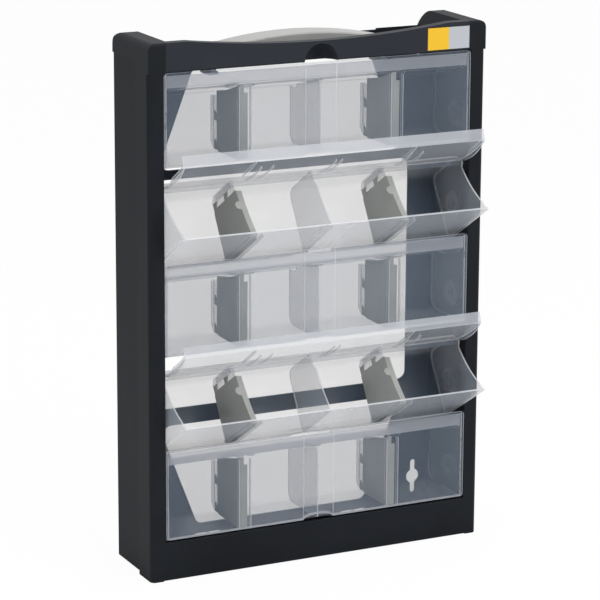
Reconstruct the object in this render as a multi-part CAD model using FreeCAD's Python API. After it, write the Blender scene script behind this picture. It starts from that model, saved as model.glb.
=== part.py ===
"""Wall or bench cabinet with five rows of tilting clear parts bins, each with a flap lid and dividers.

Millimetres. X runs to the right, Y runs back from the front, Z runs up.
The pieces are laid out with the front face at Y zero, and moved at the end so that the origin
is the middle of the footprint on the surface that the cabinet stands on.
Rows are counted from the top. Rows two and four stand open, the others are closed.
"""
import FreeCAD, Part
import math
import os

# Cabinet as a whole
CABINET_WIDTH = 409.4
CABINET_DEPTH = 98.0
CABINET_HEIGHT = 600.5
FRAME_DEPTH = 35.0
STILE_WIDTH = 14.7
SILL_HEIGHT = 44.5
RAIL_HEIGHT = 32.5
ROW_COUNT = 5
OPEN_ROWS = (2, 4)
SHELL_WALL = 2.5
OVERRUN = 5.0

# Front frame
FRAME_EDGE_RADIUS = 6.0
FRAME_LIP_RADIUS = 1.2
STILE_LIP_REACH = 3.4
STILE_LIP_DEPTH = 3.5
SILL_FOOT_RADIUS = 2.5
SILL_LIP_DROP = 3.6
SILL_SHELF_DROP = 17.5
SILL_TOP_GAP = 0.2
RAIL_END_GAP = 6.0
RAIL_FACE = 3.0
RAIL_BACK_DEPTH = 12.0
RAIL_LOW_HEIGHT = 22.8
RAIL_DIP_INSET = 26.0
RAIL_LIP_RADIUS = 2.9
THUMB_RADIUS = 20.0
THUMB_WALL = 1.5

# Rear shell
SHELL_STEP = 0.5
SHELL_FOOT = 4.0
SHELL_TOP_RISE = 10.0
SHELL_EDGE_RADIUS = 3.0

# Screws that hold the front frame to the rear shell
SCREW_HEIGHT_SHARES = (0.1, 0.358, 0.616, 0.874)
SCREW_RADIUS = 1.6
SCREW_BOSS_RADIUS = 4.9
SCREW_HEAD_RADIUS = 3.2
SCREW_HEAD_DEPTH = 2.4
SCREW_HEAD_SEAT = 45.0
SCREW_RECESS_RADIUS = 3.6
SCREW_GRIP = 16.0
SCREW_SLOT = 0.9

# Top corners and tray
CAP_ROUND = 8.0
CAP_REAR_ROUND = 14.0
CAP_FRONT_ROUND = 3.0
CAP_TOP_INSET = 24.7
CAP_FOOT_INSET = 33.7
CAP_SLOPE_DROP = 16.5
TRAY_RIM_HEIGHT = 15.0
TRAY_DIP_HEIGHT = 13.4
TRAY_DIP_SHARE = 0.572

# Back panel
TOP_WINDOW_DROP = 15.0
TOP_WINDOW_HALF_SHARE = 0.54
HIGH_BAR_DROP_SHARE = 1.213
HIGH_BAR_TALL = 10.5
LOW_BAR_RISE_SHARE = 0.979
LOW_BAR_TALL = 19.5
BOTTOM_WINDOW_LOW = 26.0
BOTTOM_WINDOW_HALF_SHARE = 0.523
MIDDLE_WINDOW_INSET = 29.7
WINDOW_SLOPE_SHARE = 0.383
WINDOW_RADIUS = 10.0
KEYHOLE_INSET = 32.7
KEYHOLE_HEIGHT = 45.2
KEYHOLE_HEAD_RADIUS = 8.5
KEYHOLE_SHANK_RADIUS = 3.5
KEYHOLE_REACH = 16.8
WALL_HOLE_DROP = 15.0
WALL_HOLE_RADIUS = 3.5
VENT_HEIGHT = 13.2
VENT_TALL = 2.8
VENT_WIDTH = 14.5
VENT_PLACE_SHARES = (0.415, 0.498)

# Bins, in the closed place, measured from the bottom of their row
BIN_BACK_ROOM = 20.0
BIN_WALL = 1.8
BIN_REAR_WALL = 2.4
PLATE_SIDE_GAP = 4.0
PLATE_OVERHANG = 1.5
PLATE_TOP_GAP = 0.4
PLATE_FOOT = 2.4
PLATE_CORNER_RADIUS = 4.0
FLOOR_RISE = 0.6
FLOOR_FRONT = 5.0
HEEL_RADIUS = 12.0
REAR_WALL_DROP = 38.7
BAND_WIDTH = 37.0
BAND_DEPTH = 0.5
THUMB_ARCH_HALF = 18.5
THUMB_ARCH_HEIGHT = 4.6
WALL_HORN_DROP = 2.0
WALL_HORN_DEPTH = 11.0
WALL_HORN_FOOT = 8.1
WALL_HORN_DISH = 0.4
WALL_DISH_DEPTH = 3.9
CENTRE_WEB = 1.6

# Bin pivots
PIVOT_BACK = 34.5
PIVOT_HEIGHT = 27.7
PIVOT_RADIUS = 6.0
PIVOT_CLEARANCE = 0.1
PIVOT_END_GAP = 0.6
BEARING_RADIUS = 14.5
BEARING_THICKNESS = 5.0
PIVOT_RING_RADIUS = 12.5
PIVOT_RING_WIDTH = 1.2
PIVOT_RING_DEPTH = 0.6
TILT_OPEN = 58.5

# Lids, in the closed place
LID_SIDE_GAP = 0.5
LID_SKIN = 1.4
LID_STRIP = 1.1
LID_PLATE_GAP = 0.4
LID_TOP_DROP = 3.6
LID_STRIP_HEIGHT = 14.4
LID_DISH_DEPTH = 2.0
LID_BARREL_RADIUS = 2.5
LID_PIN_RADIUS = 1.6
LID_PIN_CLEARANCE = 0.1
LID_PIN_END_GAP = 0.2
LID_EAR_RADIUS = 5.0
LID_AXIS_INSET = 10.0
LID_AXIS_DROP = 34.5
LID_END_RISE = 4.0
LID_END_WALL = 1.2
LID_END_SETBACK = 24.0
LID_RIB_SHARE = 0.263
LID_RIB_RISE = 3.0
LID_RIB_WALL = 1.0
LID_OPEN_ROOM = 19.5

# Removable dividers
DIVIDER_PLACE_SHARES = (-0.263, 0.2385)
DIVIDER_WEB = 1.6
DIVIDER_FLANGE = 9.5
DIVIDER_TOP_FLANGE = 6.3
DIVIDER_FLANGE_WALL = 1.2
DIVIDER_NARROW = 5.2
DIVIDER_STEP_DROP = 28.0
DIVIDER_LID_GAP = 0.8
DIVIDER_REAR_INSET = 16.0
DIVIDER_REAR_DROP = 36.5
DIVIDER_SHOULDER_INSET = 17.5
WEB_REAR_DROP = 38.8
DIVIDER_HEEL = 4.0
DIVIDER_FLOOR_GAP = 0.2
TAB_REACH = 6.8
TAB_TALL = 11.0
TAB_HEIGHTS = (3.8, 36.4)
TAB_HOOK = 3.4
LOBE_BACK = 43.0
LOBE_RADIUS = 5.0
LOBE_OFFSET = 0.7
GUIDE_WALL = 1.1
GUIDE_GAP = 0.2
GUIDE_REAR_DEPTH = 13.0
GUIDE_REAR_SHALLOW = 7.5
GUIDE_FRONT_DEPTH = 4.2
GUIDE_FRONT_DROP = 21.5
GUIDE_REAR_DROP = 41.7
FRONT_GUIDE_OFFSET = 3.6

# Carry handle
HANDLE_TOP_DROP = 7.9
HANDLE_TALL = 16.1
HANDLE_ARC_RISE = 12.6
HANDLE_LENGTH_SHARE = 0.5325
HANDLE_MIDDLE_SHARE = 0.668
HANDLE_WIDTH = 35.0
HANDLE_WALL = 3.2
HANDLE_EDGE_RADIUS = 2.0
LEG_THICKNESS = 6.0
LEG_WIDTH = 23.0
LEG_END_INSET = 2.0
LEG_GAP = 0.5
LEG_SHOULDER = 1.6
HANDLE_REST_GAP = 0.3
FOOT_THICKNESS = 3.0
FOOT_WIDER = 3.0
HANDLE_LIFT = 12.0
HANDLE_STOP_GAP = 0.8

# Label plate
LABEL_WIDTH = 52.2
LABEL_HEIGHT = 24.6
LABEL_THICKNESS = 0.4
LABEL_END_GAP = 0.6
LABEL_FOOT_GAP = 2.9

# Sizes that follow from the ones above
CABINET_HALF = CABINET_WIDTH / 2
OPENING_HALF = CABINET_HALF - STILE_WIDTH
OPENING_TOP = CABINET_HEIGHT - RAIL_HEIGHT
ROW_PITCH = (OPENING_TOP - SILL_HEIGHT) / ROW_COUNT
RAIL_HALF = OPENING_HALF - RAIL_END_GAP
RAIL_DIP_HALF = RAIL_HALF - RAIL_DIP_INSET
RAIL_TOP = CABINET_HEIGHT
RAIL_LOW = OPENING_TOP + RAIL_LOW_HEIGHT
SILL_SHELF = SILL_HEIGHT - SILL_SHELF_DROP
SHELL_HALF = CABINET_HALF - SHELL_STEP
SHELL_TOP = OPENING_TOP + SHELL_TOP_RISE
TRAY_FLOOR = OPENING_TOP + SHELL_WALL
BACK_FACE = CABINET_DEPTH - SHELL_WALL
TOP_WINDOW_HIGH = OPENING_TOP - TOP_WINDOW_DROP
TOP_WINDOW_LOW = OPENING_TOP - HIGH_BAR_DROP_SHARE * ROW_PITCH
TOP_WINDOW_HIGH_HALF = TOP_WINDOW_HALF_SHARE * CABINET_HALF
MIDDLE_WINDOW_HIGH = TOP_WINDOW_LOW - HIGH_BAR_TALL
BOTTOM_WINDOW_HIGH = SILL_HEIGHT + LOW_BAR_RISE_SHARE * ROW_PITCH
BOTTOM_WINDOW_LOW_HALF = BOTTOM_WINDOW_HALF_SHARE * CABINET_HALF
MIDDLE_WINDOW_LOW = BOTTOM_WINDOW_HIGH + LOW_BAR_TALL
MIDDLE_WINDOW_HALF = OPENING_HALF - MIDDLE_WINDOW_INSET
WALL_HOLE_HEIGHT = OPENING_TOP - WALL_HOLE_DROP
KEYHOLE_PLACE = CABINET_HALF - KEYHOLE_INSET
SCREW_HEIGHTS = [share * CABINET_HEIGHT for share in SCREW_HEIGHT_SHARES]
VENT_PLACES = [share * CABINET_HALF for share in VENT_PLACE_SHARES]
TRAY_DIP_HALF = TRAY_DIP_SHARE * CABINET_HALF
PLATE_HALF = OPENING_HALF - PLATE_SIDE_GAP
BIN_HALF = PLATE_HALF - PLATE_OVERHANG
BIN_DEPTH = CABINET_DEPTH - BIN_BACK_ROOM
REAR_WALL_HEIGHT = ROW_PITCH - REAR_WALL_DROP
LID_AXIS_BACK = BIN_DEPTH - LID_AXIS_INSET
LID_AXIS_HEIGHT = ROW_PITCH - LID_AXIS_DROP
LID_RIB_PLACE = 2 * LID_RIB_SHARE * BIN_HALF
DIVIDER_PLACES = [2 * share * BIN_HALF for share in DIVIDER_PLACE_SHARES]
DIVIDER_REAR = BIN_DEPTH - DIVIDER_REAR_INSET
DIVIDER_SHOULDER = BIN_DEPTH - DIVIDER_SHOULDER_INSET
HANDLE_TOP = CABINET_HEIGHT - HANDLE_TOP_DROP
HANDLE_FOOT = HANDLE_TOP - HANDLE_TALL
HANDLE_HALF_LENGTH = HANDLE_LENGTH_SHARE * CABINET_HALF
HANDLE_ARC_RADIUS = (HANDLE_HALF_LENGTH ** 2 + HANDLE_ARC_RISE ** 2) / (2 * HANDLE_ARC_RISE)
HANDLE_FRONT = HANDLE_MIDDLE_SHARE * CABINET_DEPTH - HANDLE_WIDTH / 2
HANDLE_REAR = HANDLE_FRONT + HANDLE_WIDTH
BIN_INSIDE_HALF = BIN_HALF - BIN_WALL
LID_HALF = BIN_INSIDE_HALF - LID_SIDE_GAP
LID_FRONT = BIN_WALL + LID_PLATE_GAP
LID_STRIP_BACK = LID_FRONT + LID_STRIP
LID_TOP = ROW_PITCH - LID_TOP_DROP
LID_STRIP_FOOT = LID_TOP - LID_STRIP_HEIGHT
LID_SKIN_FRONT = LID_STRIP_FOOT + LID_SKIN
LID_SKIN_REAR = LID_AXIS_HEIGHT + LID_BARREL_RADIUS
BIN_FLOOR = FLOOR_RISE + BIN_WALL
BIN_REAR_INSIDE = BIN_DEPTH - BIN_REAR_WALL
SCREW_PLACE = (OPENING_HALF + SHELL_HALF) / 2
TILT_SINE = math.sin(math.radians(TILT_OPEN))
TILT_COSINE = math.cos(math.radians(TILT_OPEN))
AXIS_BEHIND_PIVOT = LID_AXIS_BACK - PIVOT_BACK
AXIS_OVER_PIVOT = LID_AXIS_HEIGHT - PIVOT_HEIGHT
OPEN_AXIS_BACK = PIVOT_BACK + AXIS_BEHIND_PIVOT * TILT_COSINE - AXIS_OVER_PIVOT * TILT_SINE
OPEN_AXIS_HEIGHT = PIVOT_HEIGHT + AXIS_BEHIND_PIVOT * TILT_SINE + AXIS_OVER_PIVOT * TILT_COSINE
OPEN_LID_TARGET = ROW_PITCH + PLATE_FOOT - LID_OPEN_ROOM
OPEN_LID_ANGLE = math.degrees(math.atan2(OPEN_LID_TARGET - OPEN_AXIS_HEIGHT, OPEN_AXIS_BACK))
SHUT_LID_ANGLE = math.degrees(math.atan2(LID_SKIN_FRONT - LID_SKIN_REAR, LID_AXIS_BACK - LID_FRONT))
LID_RISE_ANGLE = OPEN_LID_ANGLE - SHUT_LID_ANGLE
X_AXIS = FreeCAD.Vector(1, 0, 0)
Y_AXIS = FreeCAD.Vector(0, 1, 0)


def point(x, y, z):
    """A point of the layout."""
    return FreeCAD.Vector(x, y, z)


def box(low_x, high_x, low_y, high_y, low_z, high_z):
    """A block between two corners."""
    return Part.makeBox(high_x - low_x, high_y - low_y, high_z - low_z, point(low_x, low_y, low_z))


def rod(radius, low_x, high_x, y, z):
    """A round bar along X."""
    return Part.makeCylinder(radius, high_x - low_x, point(low_x, y, z), X_AXIS)


def outline(corners):
    """A closed wire. A corner is a point, or a pair of points: the middle and the end of an arc."""
    edges = []
    last = corners[0]
    for corner in corners[1:] + [corners[0]]:
        if isinstance(corner, tuple):
            middle, end = corner
            edges.append(Part.Arc(last, middle, end).toShape())
            last = end
        elif corner.distanceToPoint(last) > 0:
            edges.append(Part.LineSegment(last, corner).toShape())
            last = corner
    return Part.Wire(edges)


def spigot(radius, x, low_y, high_y, z):
    """A round bar along Y."""
    return Part.makeCylinder(radius, high_y - low_y, point(x, low_y, z), Y_AXIS)


def profile(corners, low_x, high_x):
    """A prism along X of an outline given in Y and Z."""
    def at(place):
        return point(low_x, place[0], place[1])

    turned = [tuple(at(p) for p in c) if isinstance(c[0], tuple) else at(c) for c in corners]
    return Part.Face(outline(turned)).extrude(point(high_x - low_x, 0, 0))


def panel(corners, low_y, high_y):
    """A prism along Y of an outline given in X and Z."""
    def at(place):
        return point(place[0], low_y, place[1])

    turned = [tuple(at(p) for p in c) if isinstance(c[0], tuple) else at(c) for c in corners]
    return Part.Face(outline(turned)).extrude(point(0, high_y - low_y, 0))


def mirrored(shape):
    """The same piece on the other side of the middle."""
    return shape.mirror(point(0, 0, 0), X_AXIS)


def united(shapes):
    """One solid of several that overlap."""
    whole = shapes[0]
    for shape in shapes[1:]:
        whole = whole.fuse(shape)
    return whole.removeSplitter()


def rounded(shape, radius, chosen):
    """Fillets the edges that the test picks."""
    return shape.makeFillet(radius, [edge for edge in shape.Edges if chosen(edge.BoundBox)])


def row_bottom(row):
    """Height of the bottom of a row."""
    return SILL_HEIGHT + (ROW_COUNT - row) * ROW_PITCH


def corner_arc(corner_y, corner_z, radius, toward_y, toward_z):
    """The points of a quarter round in a profile, whose centre lies off its corner."""
    centre_y = corner_y + toward_y * radius
    centre_z = corner_z + toward_z * radius
    reach = radius / math.sqrt(2)
    return (centre_y - toward_y * reach, centre_z - toward_z * reach)


def frame_stile():
    """Right-hand upright of the front frame, hollow from behind."""
    body = box(OPENING_HALF, CABINET_HALF, 0, FRAME_DEPTH, 0, OPENING_TOP)
    body = rounded(body, FRAME_EDGE_RADIUS,
                   lambda b: b.YMax < SHELL_WALL and b.XMin > CABINET_HALF - SHELL_WALL)
    lip = box(OPENING_HALF - STILE_LIP_REACH, CABINET_HALF - FRAME_EDGE_RADIUS, 0, STILE_LIP_DEPTH,
              SILL_HEIGHT, OPENING_TOP)
    body = rounded(united([body, lip]), FRAME_LIP_RADIUS,
                   lambda b: b.YMax < SHELL_WALL and b.XMax < OPENING_HALF and b.ZLength > ROW_PITCH)
    hollow = box(OPENING_HALF + SHELL_WALL, CABINET_HALF - SHELL_WALL,
                 SHELL_WALL, FRAME_DEPTH + OVERRUN, SHELL_WALL, OPENING_TOP - SHELL_WALL)
    posts = [spigot(SCREW_BOSS_RADIUS, SCREW_PLACE, SHELL_WALL, FRAME_DEPTH, height)
             for height in SCREW_HEIGHTS]
    body = united([body.cut(hollow)] + posts)
    for height in SCREW_HEIGHTS:
        body = body.cut(spigot(SCREW_RADIUS, SCREW_PLACE, FRAME_DEPTH - SCREW_GRIP, FRAME_DEPTH + OVERRUN,
                               height))
    return body


def sill():
    """Bottom rail of the front frame: a thin lip over a hollow shelf that the last bin swings above."""
    top = SILL_HEIGHT - SILL_TOP_GAP
    body = profile([(0, 0), (0, top), (BIN_WALL, top), (RAIL_FACE, top - SILL_LIP_DROP),
                    (RAIL_FACE, SILL_SHELF), (FRAME_DEPTH, SILL_SHELF), (FRAME_DEPTH, 0)],
                   -OPENING_HALF, OPENING_HALF)
    body = rounded(body, SILL_FOOT_RADIUS, lambda b: b.YMax < THUMB_WALL and b.ZMax < SHELL_WALL)
    body = rounded(body, FRAME_LIP_RADIUS, lambda b: b.YMax < THUMB_WALL and b.ZMin > top - THUMB_WALL)
    hollow = box(-OPENING_HALF + SHELL_WALL, OPENING_HALF - SHELL_WALL,
                 RAIL_FACE, FRAME_DEPTH - SHELL_WALL, SHELL_WALL, SILL_SHELF - SHELL_WALL)
    return body.cut(hollow)


def rail_outline(inset):
    """Front view of the top rail, whose upper edge dips towards the middle."""
    low = RAIL_LOW - inset
    high = RAIL_TOP - inset
    half = RAIL_HALF - inset
    dip_radius = (RAIL_DIP_HALF ** 2 + (high - low) ** 2) / (2 * (high - low))
    quarter = RAIL_DIP_HALF / 2
    rise = dip_radius - math.sqrt(dip_radius ** 2 - quarter ** 2)
    return [(-half, OPENING_TOP + inset), (half, OPENING_TOP + inset), (half, high), (RAIL_DIP_HALF, high),
            ((quarter, low + rise), (0, low)), ((-quarter, low + rise), (-RAIL_DIP_HALF, high)),
            (-half, high)]


def top_rail():
    """Top rail of the front frame with its thumb recess over the first row."""
    body = panel(rail_outline(0), 0, RAIL_BACK_DEPTH)
    body = body.cut(panel(rail_outline(SHELL_WALL), RAIL_FACE, RAIL_BACK_DEPTH + OVERRUN))
    shelf = box(-RAIL_HALF, RAIL_HALF, 0, FRAME_DEPTH, OPENING_TOP, TRAY_FLOOR)
    body = united([body, shelf])
    body = rounded(body, RAIL_LIP_RADIUS,
                   lambda b: b.YMax < THUMB_WALL and b.ZMax < OPENING_TOP + THUMB_WALL)
    thumb_centre = point(0, 0, OPENING_TOP)
    hollow = Part.makeSphere(THUMB_RADIUS, thumb_centre)
    dome = Part.makeSphere(THUMB_RADIUS + THUMB_WALL, thumb_centre)
    dome = dome.common(box(-RAIL_HALF, RAIL_HALF, THUMB_WALL, FRAME_DEPTH, OPENING_TOP, RAIL_TOP))
    return united([body, dome]).cut(hollow)


def side_shell():
    """Right-hand side of the rear shell, hollow from the front."""
    body = box(OPENING_HALF, SHELL_HALF, FRAME_DEPTH, CABINET_DEPTH, SHELL_FOOT, SHELL_TOP)
    body = rounded(body, SHELL_EDGE_RADIUS,
                   lambda b: b.YMin > CABINET_DEPTH - SHELL_WALL and b.XMin > SHELL_HALF - SHELL_WALL)
    hollow = box(OPENING_HALF + SHELL_WALL, SHELL_HALF - SHELL_WALL,
                 FRAME_DEPTH - OVERRUN, BACK_FACE, SHELL_FOOT + SHELL_WALL, SHELL_TOP - SHELL_WALL)
    bosses = [spigot(SCREW_BOSS_RADIUS, SCREW_PLACE, FRAME_DEPTH, BACK_FACE, height)
              for height in SCREW_HEIGHTS]
    body = united([body.cut(hollow)] + bosses)
    for height in SCREW_HEIGHTS:
        body = body.cut(spigot(SCREW_RADIUS, SCREW_PLACE, FRAME_DEPTH - OVERRUN, SCREW_HEAD_SEAT, height))
        body = body.cut(spigot(SCREW_RECESS_RADIUS, SCREW_PLACE, SCREW_HEAD_SEAT, CABINET_DEPTH + OVERRUN,
                               height))
    return body


def frame_screws():
    """Right-hand screws of the front frame, with a slot across each head."""
    screws = []
    for height in SCREW_HEIGHTS:
        shank = spigot(SCREW_RADIUS, SCREW_PLACE, FRAME_DEPTH - SCREW_GRIP, SCREW_HEAD_SEAT, height)
        head_end = SCREW_HEAD_SEAT + SCREW_HEAD_DEPTH
        head = spigot(SCREW_HEAD_RADIUS, SCREW_PLACE, SCREW_HEAD_SEAT, head_end, height)
        slot = box(SCREW_PLACE - SCREW_HEAD_RADIUS, SCREW_PLACE + SCREW_HEAD_RADIUS,
                   head_end - SCREW_SLOT, head_end, height - SCREW_SLOT / 2, height + SCREW_SLOT / 2)
        screws.append(united([shank, head]).cut(slot))
    return Part.makeCompound(screws)


def base_panel():
    """Floor that the rear shell stands on, with an upstand behind the sill."""
    floor = box(-OPENING_HALF, OPENING_HALF, FRAME_DEPTH, BACK_FACE, 0, SHELL_WALL)
    upstand = box(-OPENING_HALF, OPENING_HALF, FRAME_DEPTH, FRAME_DEPTH + SHELL_WALL, 0, SILL_SHELF)
    return united([floor, upstand])


def window(low, high, low_half, high_half):
    """A cut-out of the back panel with rounded corners."""
    hole = panel([(-low_half, low), (low_half, low), (high_half, high), (-high_half, high)],
                 BACK_FACE - OVERRUN, CABINET_DEPTH + OVERRUN)
    return rounded(hole, WINDOW_RADIUS, lambda b: b.XLength < WINDOW_RADIUS and b.ZLength < WINDOW_RADIUS)


def keyhole(x, z):
    """Wall-mounting hole: a round for the screw head with a slot above and below."""
    low_y = BACK_FACE - OVERRUN
    high_y = CABINET_DEPTH + OVERRUN
    head = spigot(KEYHOLE_HEAD_RADIUS, x, low_y, high_y, z)
    slot = box(x - KEYHOLE_SHANK_RADIUS, x + KEYHOLE_SHANK_RADIUS, low_y, high_y,
               z - KEYHOLE_REACH, z + KEYHOLE_REACH)
    ends = [spigot(KEYHOLE_SHANK_RADIUS, x, low_y, high_y, z + way * KEYHOLE_REACH) for way in (-1, 1)]
    return united([head, slot] + ends)


def back_panel():
    """Back of the cabinet with three large windows, two keyholes, two wall holes and four slots."""
    body = box(-OPENING_HALF, OPENING_HALF, BACK_FACE, CABINET_DEPTH, 0, OPENING_TOP)
    top_low_half = TOP_WINDOW_HIGH_HALF + WINDOW_SLOPE_SHARE * (TOP_WINDOW_HIGH - TOP_WINDOW_LOW)
    bottom_high_half = (BOTTOM_WINDOW_LOW_HALF
                        + WINDOW_SLOPE_SHARE * (BOTTOM_WINDOW_HIGH - BOTTOM_WINDOW_LOW))
    body = body.cut(window(TOP_WINDOW_LOW, TOP_WINDOW_HIGH, top_low_half, TOP_WINDOW_HIGH_HALF))
    body = body.cut(window(MIDDLE_WINDOW_LOW, MIDDLE_WINDOW_HIGH, MIDDLE_WINDOW_HALF, MIDDLE_WINDOW_HALF))
    body = body.cut(window(BOTTOM_WINDOW_LOW, BOTTOM_WINDOW_HIGH, BOTTOM_WINDOW_LOW_HALF, bottom_high_half))
    for side in (-1, 1):
        body = body.cut(keyhole(side * KEYHOLE_PLACE, KEYHOLE_HEIGHT))
        body = body.cut(spigot(WALL_HOLE_RADIUS, side * KEYHOLE_PLACE, BACK_FACE - OVERRUN,
                               CABINET_DEPTH + OVERRUN, WALL_HOLE_HEIGHT))
        for place in VENT_PLACES:
            body = body.cut(box(side * place - VENT_WIDTH / 2, side * place + VENT_WIDTH / 2,
                                BACK_FACE - OVERRUN, CABINET_DEPTH + OVERRUN,
                                VENT_HEIGHT - VENT_TALL / 2, VENT_HEIGHT + VENT_TALL / 2))
    return body


def cap_outline(inside, low):
    """Front view of the right-hand top corner: round outside, and sloped inside or upright."""
    round_reach = CAP_ROUND * (1 - 1 / math.sqrt(2))
    outer = [(CABINET_HALF, low), (CABINET_HALF, CABINET_HEIGHT - CAP_ROUND),
             ((CABINET_HALF - round_reach, CABINET_HEIGHT - round_reach),
              (CABINET_HALF - CAP_ROUND, CABINET_HEIGHT))]
    if inside == "upright":
        return [(RAIL_HALF, low)] + outer + [(RAIL_HALF, CABINET_HEIGHT)]
    foot = CABINET_HALF - CAP_FOOT_INSET
    start = RAIL_HALF if low == OPENING_TOP else OPENING_HALF
    return [(start, low)] + outer + [(CABINET_HALF - CAP_TOP_INSET, CABINET_HEIGHT),
                                     (foot, CABINET_HEIGHT - CAP_SLOPE_DROP), (foot, TRAY_FLOOR),
                                     (start, TRAY_FLOOR)]


def corner_cap():
    """Right-hand top corner of the cabinet, hollow from below, standing proud of the tray."""
    front = panel(cap_outline("upright", OPENING_TOP), 0, RAIL_BACK_DEPTH)
    middle = panel(cap_outline("sloped", OPENING_TOP), RAIL_BACK_DEPTH, FRAME_DEPTH)
    rear = panel(cap_outline("sloped", SHELL_TOP), FRAME_DEPTH, CABINET_DEPTH)
    body = united([front, middle, rear])
    rear_reach = CAP_REAR_ROUND * (1 - 1 / math.sqrt(2))
    front_reach = CAP_FRONT_ROUND * (1 - 1 / math.sqrt(2))
    side_view = profile([(0, OPENING_TOP), (CABINET_DEPTH, OPENING_TOP),
                         (CABINET_DEPTH, CABINET_HEIGHT - CAP_REAR_ROUND),
                         ((CABINET_DEPTH - rear_reach, CABINET_HEIGHT - rear_reach),
                          (CABINET_DEPTH - CAP_REAR_ROUND, CABINET_HEIGHT)),
                         (CAP_FRONT_ROUND, CABINET_HEIGHT),
                         ((front_reach, CABINET_HEIGHT - front_reach),
                          (0, CABINET_HEIGHT - CAP_FRONT_ROUND))],
                        OPENING_HALF - CABINET_HALF, CABINET_HALF)
    body = body.common(side_view)
    hollow = box(OPENING_HALF, CABINET_HALF - SHELL_WALL, SHELL_WALL, CABINET_DEPTH - CAP_REAR_ROUND,
                 OPENING_TOP - OVERRUN, CABINET_HEIGHT - CAP_ROUND)
    return body.cut(hollow)


def leg_span():
    """Inner and outer end of the right-hand handle leg."""
    outer = HANDLE_HALF_LENGTH - LEG_END_INSET
    return outer - LEG_THICKNESS, outer


def leg_depths():
    """Front and rear of a handle leg."""
    middle = (HANDLE_FRONT + HANDLE_REAR) / 2
    return middle - LEG_WIDTH / 2, middle + LEG_WIDTH / 2


def tray():
    """Top of the rear shell: a floor with two slots for the handle's legs, and a rim at the back."""
    floor = box(-OPENING_HALF, OPENING_HALF, FRAME_DEPTH, CABINET_DEPTH, OPENING_TOP, TRAY_FLOOR)
    foot = CABINET_HALF - CAP_FOOT_INSET
    rim = box(-foot, foot, BACK_FACE, CABINET_DEPTH, OPENING_TOP, OPENING_TOP + TRAY_RIM_HEIGHT)
    body = united([floor, rim])
    body = body.cut(box(-TRAY_DIP_HALF, TRAY_DIP_HALF, BACK_FACE - OVERRUN, CABINET_DEPTH + OVERRUN,
                        OPENING_TOP + TRAY_DIP_HEIGHT, OPENING_TOP + TRAY_RIM_HEIGHT + OVERRUN))
    inner, outer = leg_span()
    near, far = leg_depths()
    slot = box(inner - LEG_GAP, outer + LEG_GAP, near - LEG_GAP, far + LEG_GAP,
               OPENING_TOP - OVERRUN, TRAY_FLOOR + OVERRUN)
    return body.cut(slot).cut(mirrored(slot))


def carry_handle():
    """Arched grip, hollow below, on two legs that slide in the tray, with feet that stop it when pulled up."""
    def height(x, drop):
        return HANDLE_TOP - drop - HANDLE_ARC_RADIUS + math.sqrt(HANDLE_ARC_RADIUS ** 2 - x ** 2)

    def arch(end, drop, near, far):
        return panel([(-end, height(end, drop)), ((0, height(0, drop)), (end, height(end, drop))),
                      (end, HANDLE_FOOT), (-end, HANDLE_FOOT)], near, far)

    grip = rounded(arch(HANDLE_HALF_LENGTH, 0, HANDLE_FRONT, HANDLE_REAR), HANDLE_EDGE_RADIUS,
                   lambda b: b.XLength > HANDLE_HALF_LENGTH and b.ZMax > HANDLE_TOP - HANDLE_WALL)
    inner, outer = leg_span()
    near, far = leg_depths()
    grip = grip.cut(arch(inner, HANDLE_WALL, HANDLE_FRONT + HANDLE_WALL, HANDLE_REAR - HANDLE_WALL))
    foot_top = OPENING_TOP - HANDLE_LIFT - HANDLE_STOP_GAP
    leg = box(inner, outer, near, far, foot_top - FOOT_THICKNESS, HANDLE_FOOT + HANDLE_WALL / 2)
    foot = box(inner - FOOT_WIDER, outer + FOOT_WIDER, near, far, foot_top - FOOT_THICKNESS, foot_top)
    shoulder = box(inner - LEG_SHOULDER, outer + LEG_SHOULDER, near, far, TRAY_FLOOR + HANDLE_REST_GAP,
                   HANDLE_FOOT + HANDLE_WALL / 2)
    return united([grip, leg, foot, shoulder, mirrored(leg), mirrored(foot), mirrored(shoulder)])


def label_plate():
    """Thin plate on the top rail for a label."""
    outer = RAIL_HALF - LABEL_END_GAP
    low = OPENING_TOP + LABEL_FOOT_GAP
    return box(outer - LABEL_WIDTH, outer, -LABEL_THICKNESS, 0, low, low + LABEL_HEIGHT)


def bearings():
    """Right-hand bearing discs, one per row, on the inner face of the cabinet."""
    discs = []
    for row in range(1, ROW_COUNT + 1):
        height = row_bottom(row) + PIVOT_HEIGHT
        disc = rod(BEARING_RADIUS, OPENING_HALF - BEARING_THICKNESS, OPENING_HALF, PIVOT_BACK, height)
        bore = rod(PIVOT_RADIUS + PIVOT_CLEARANCE, OPENING_HALF - BEARING_THICKNESS - OVERRUN,
                   OPENING_HALF + OVERRUN, PIVOT_BACK, height)
        discs.append(disc.cut(bore))
    return Part.makeCompound(discs)


def dish(front, rear, depth):
    """The middle of a hollow arc between two places of a profile."""
    run = rear[0] - front[0]
    drop = rear[1] - front[1]
    length = math.hypot(run, drop)
    return ((front[0] + rear[0]) / 2 + depth * drop / length, (front[1] + rear[1]) / 2 - depth * run / length)


def skin_arc(offset):
    """Front, middle and rear of the lid skin's upper face, moved down by an offset."""
    front = (LID_FRONT, LID_SKIN_FRONT - offset)
    rear = (LID_AXIS_BACK, LID_SKIN_REAR - offset)
    return front, dish(front, rear, LID_DISH_DEPTH), rear


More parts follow.
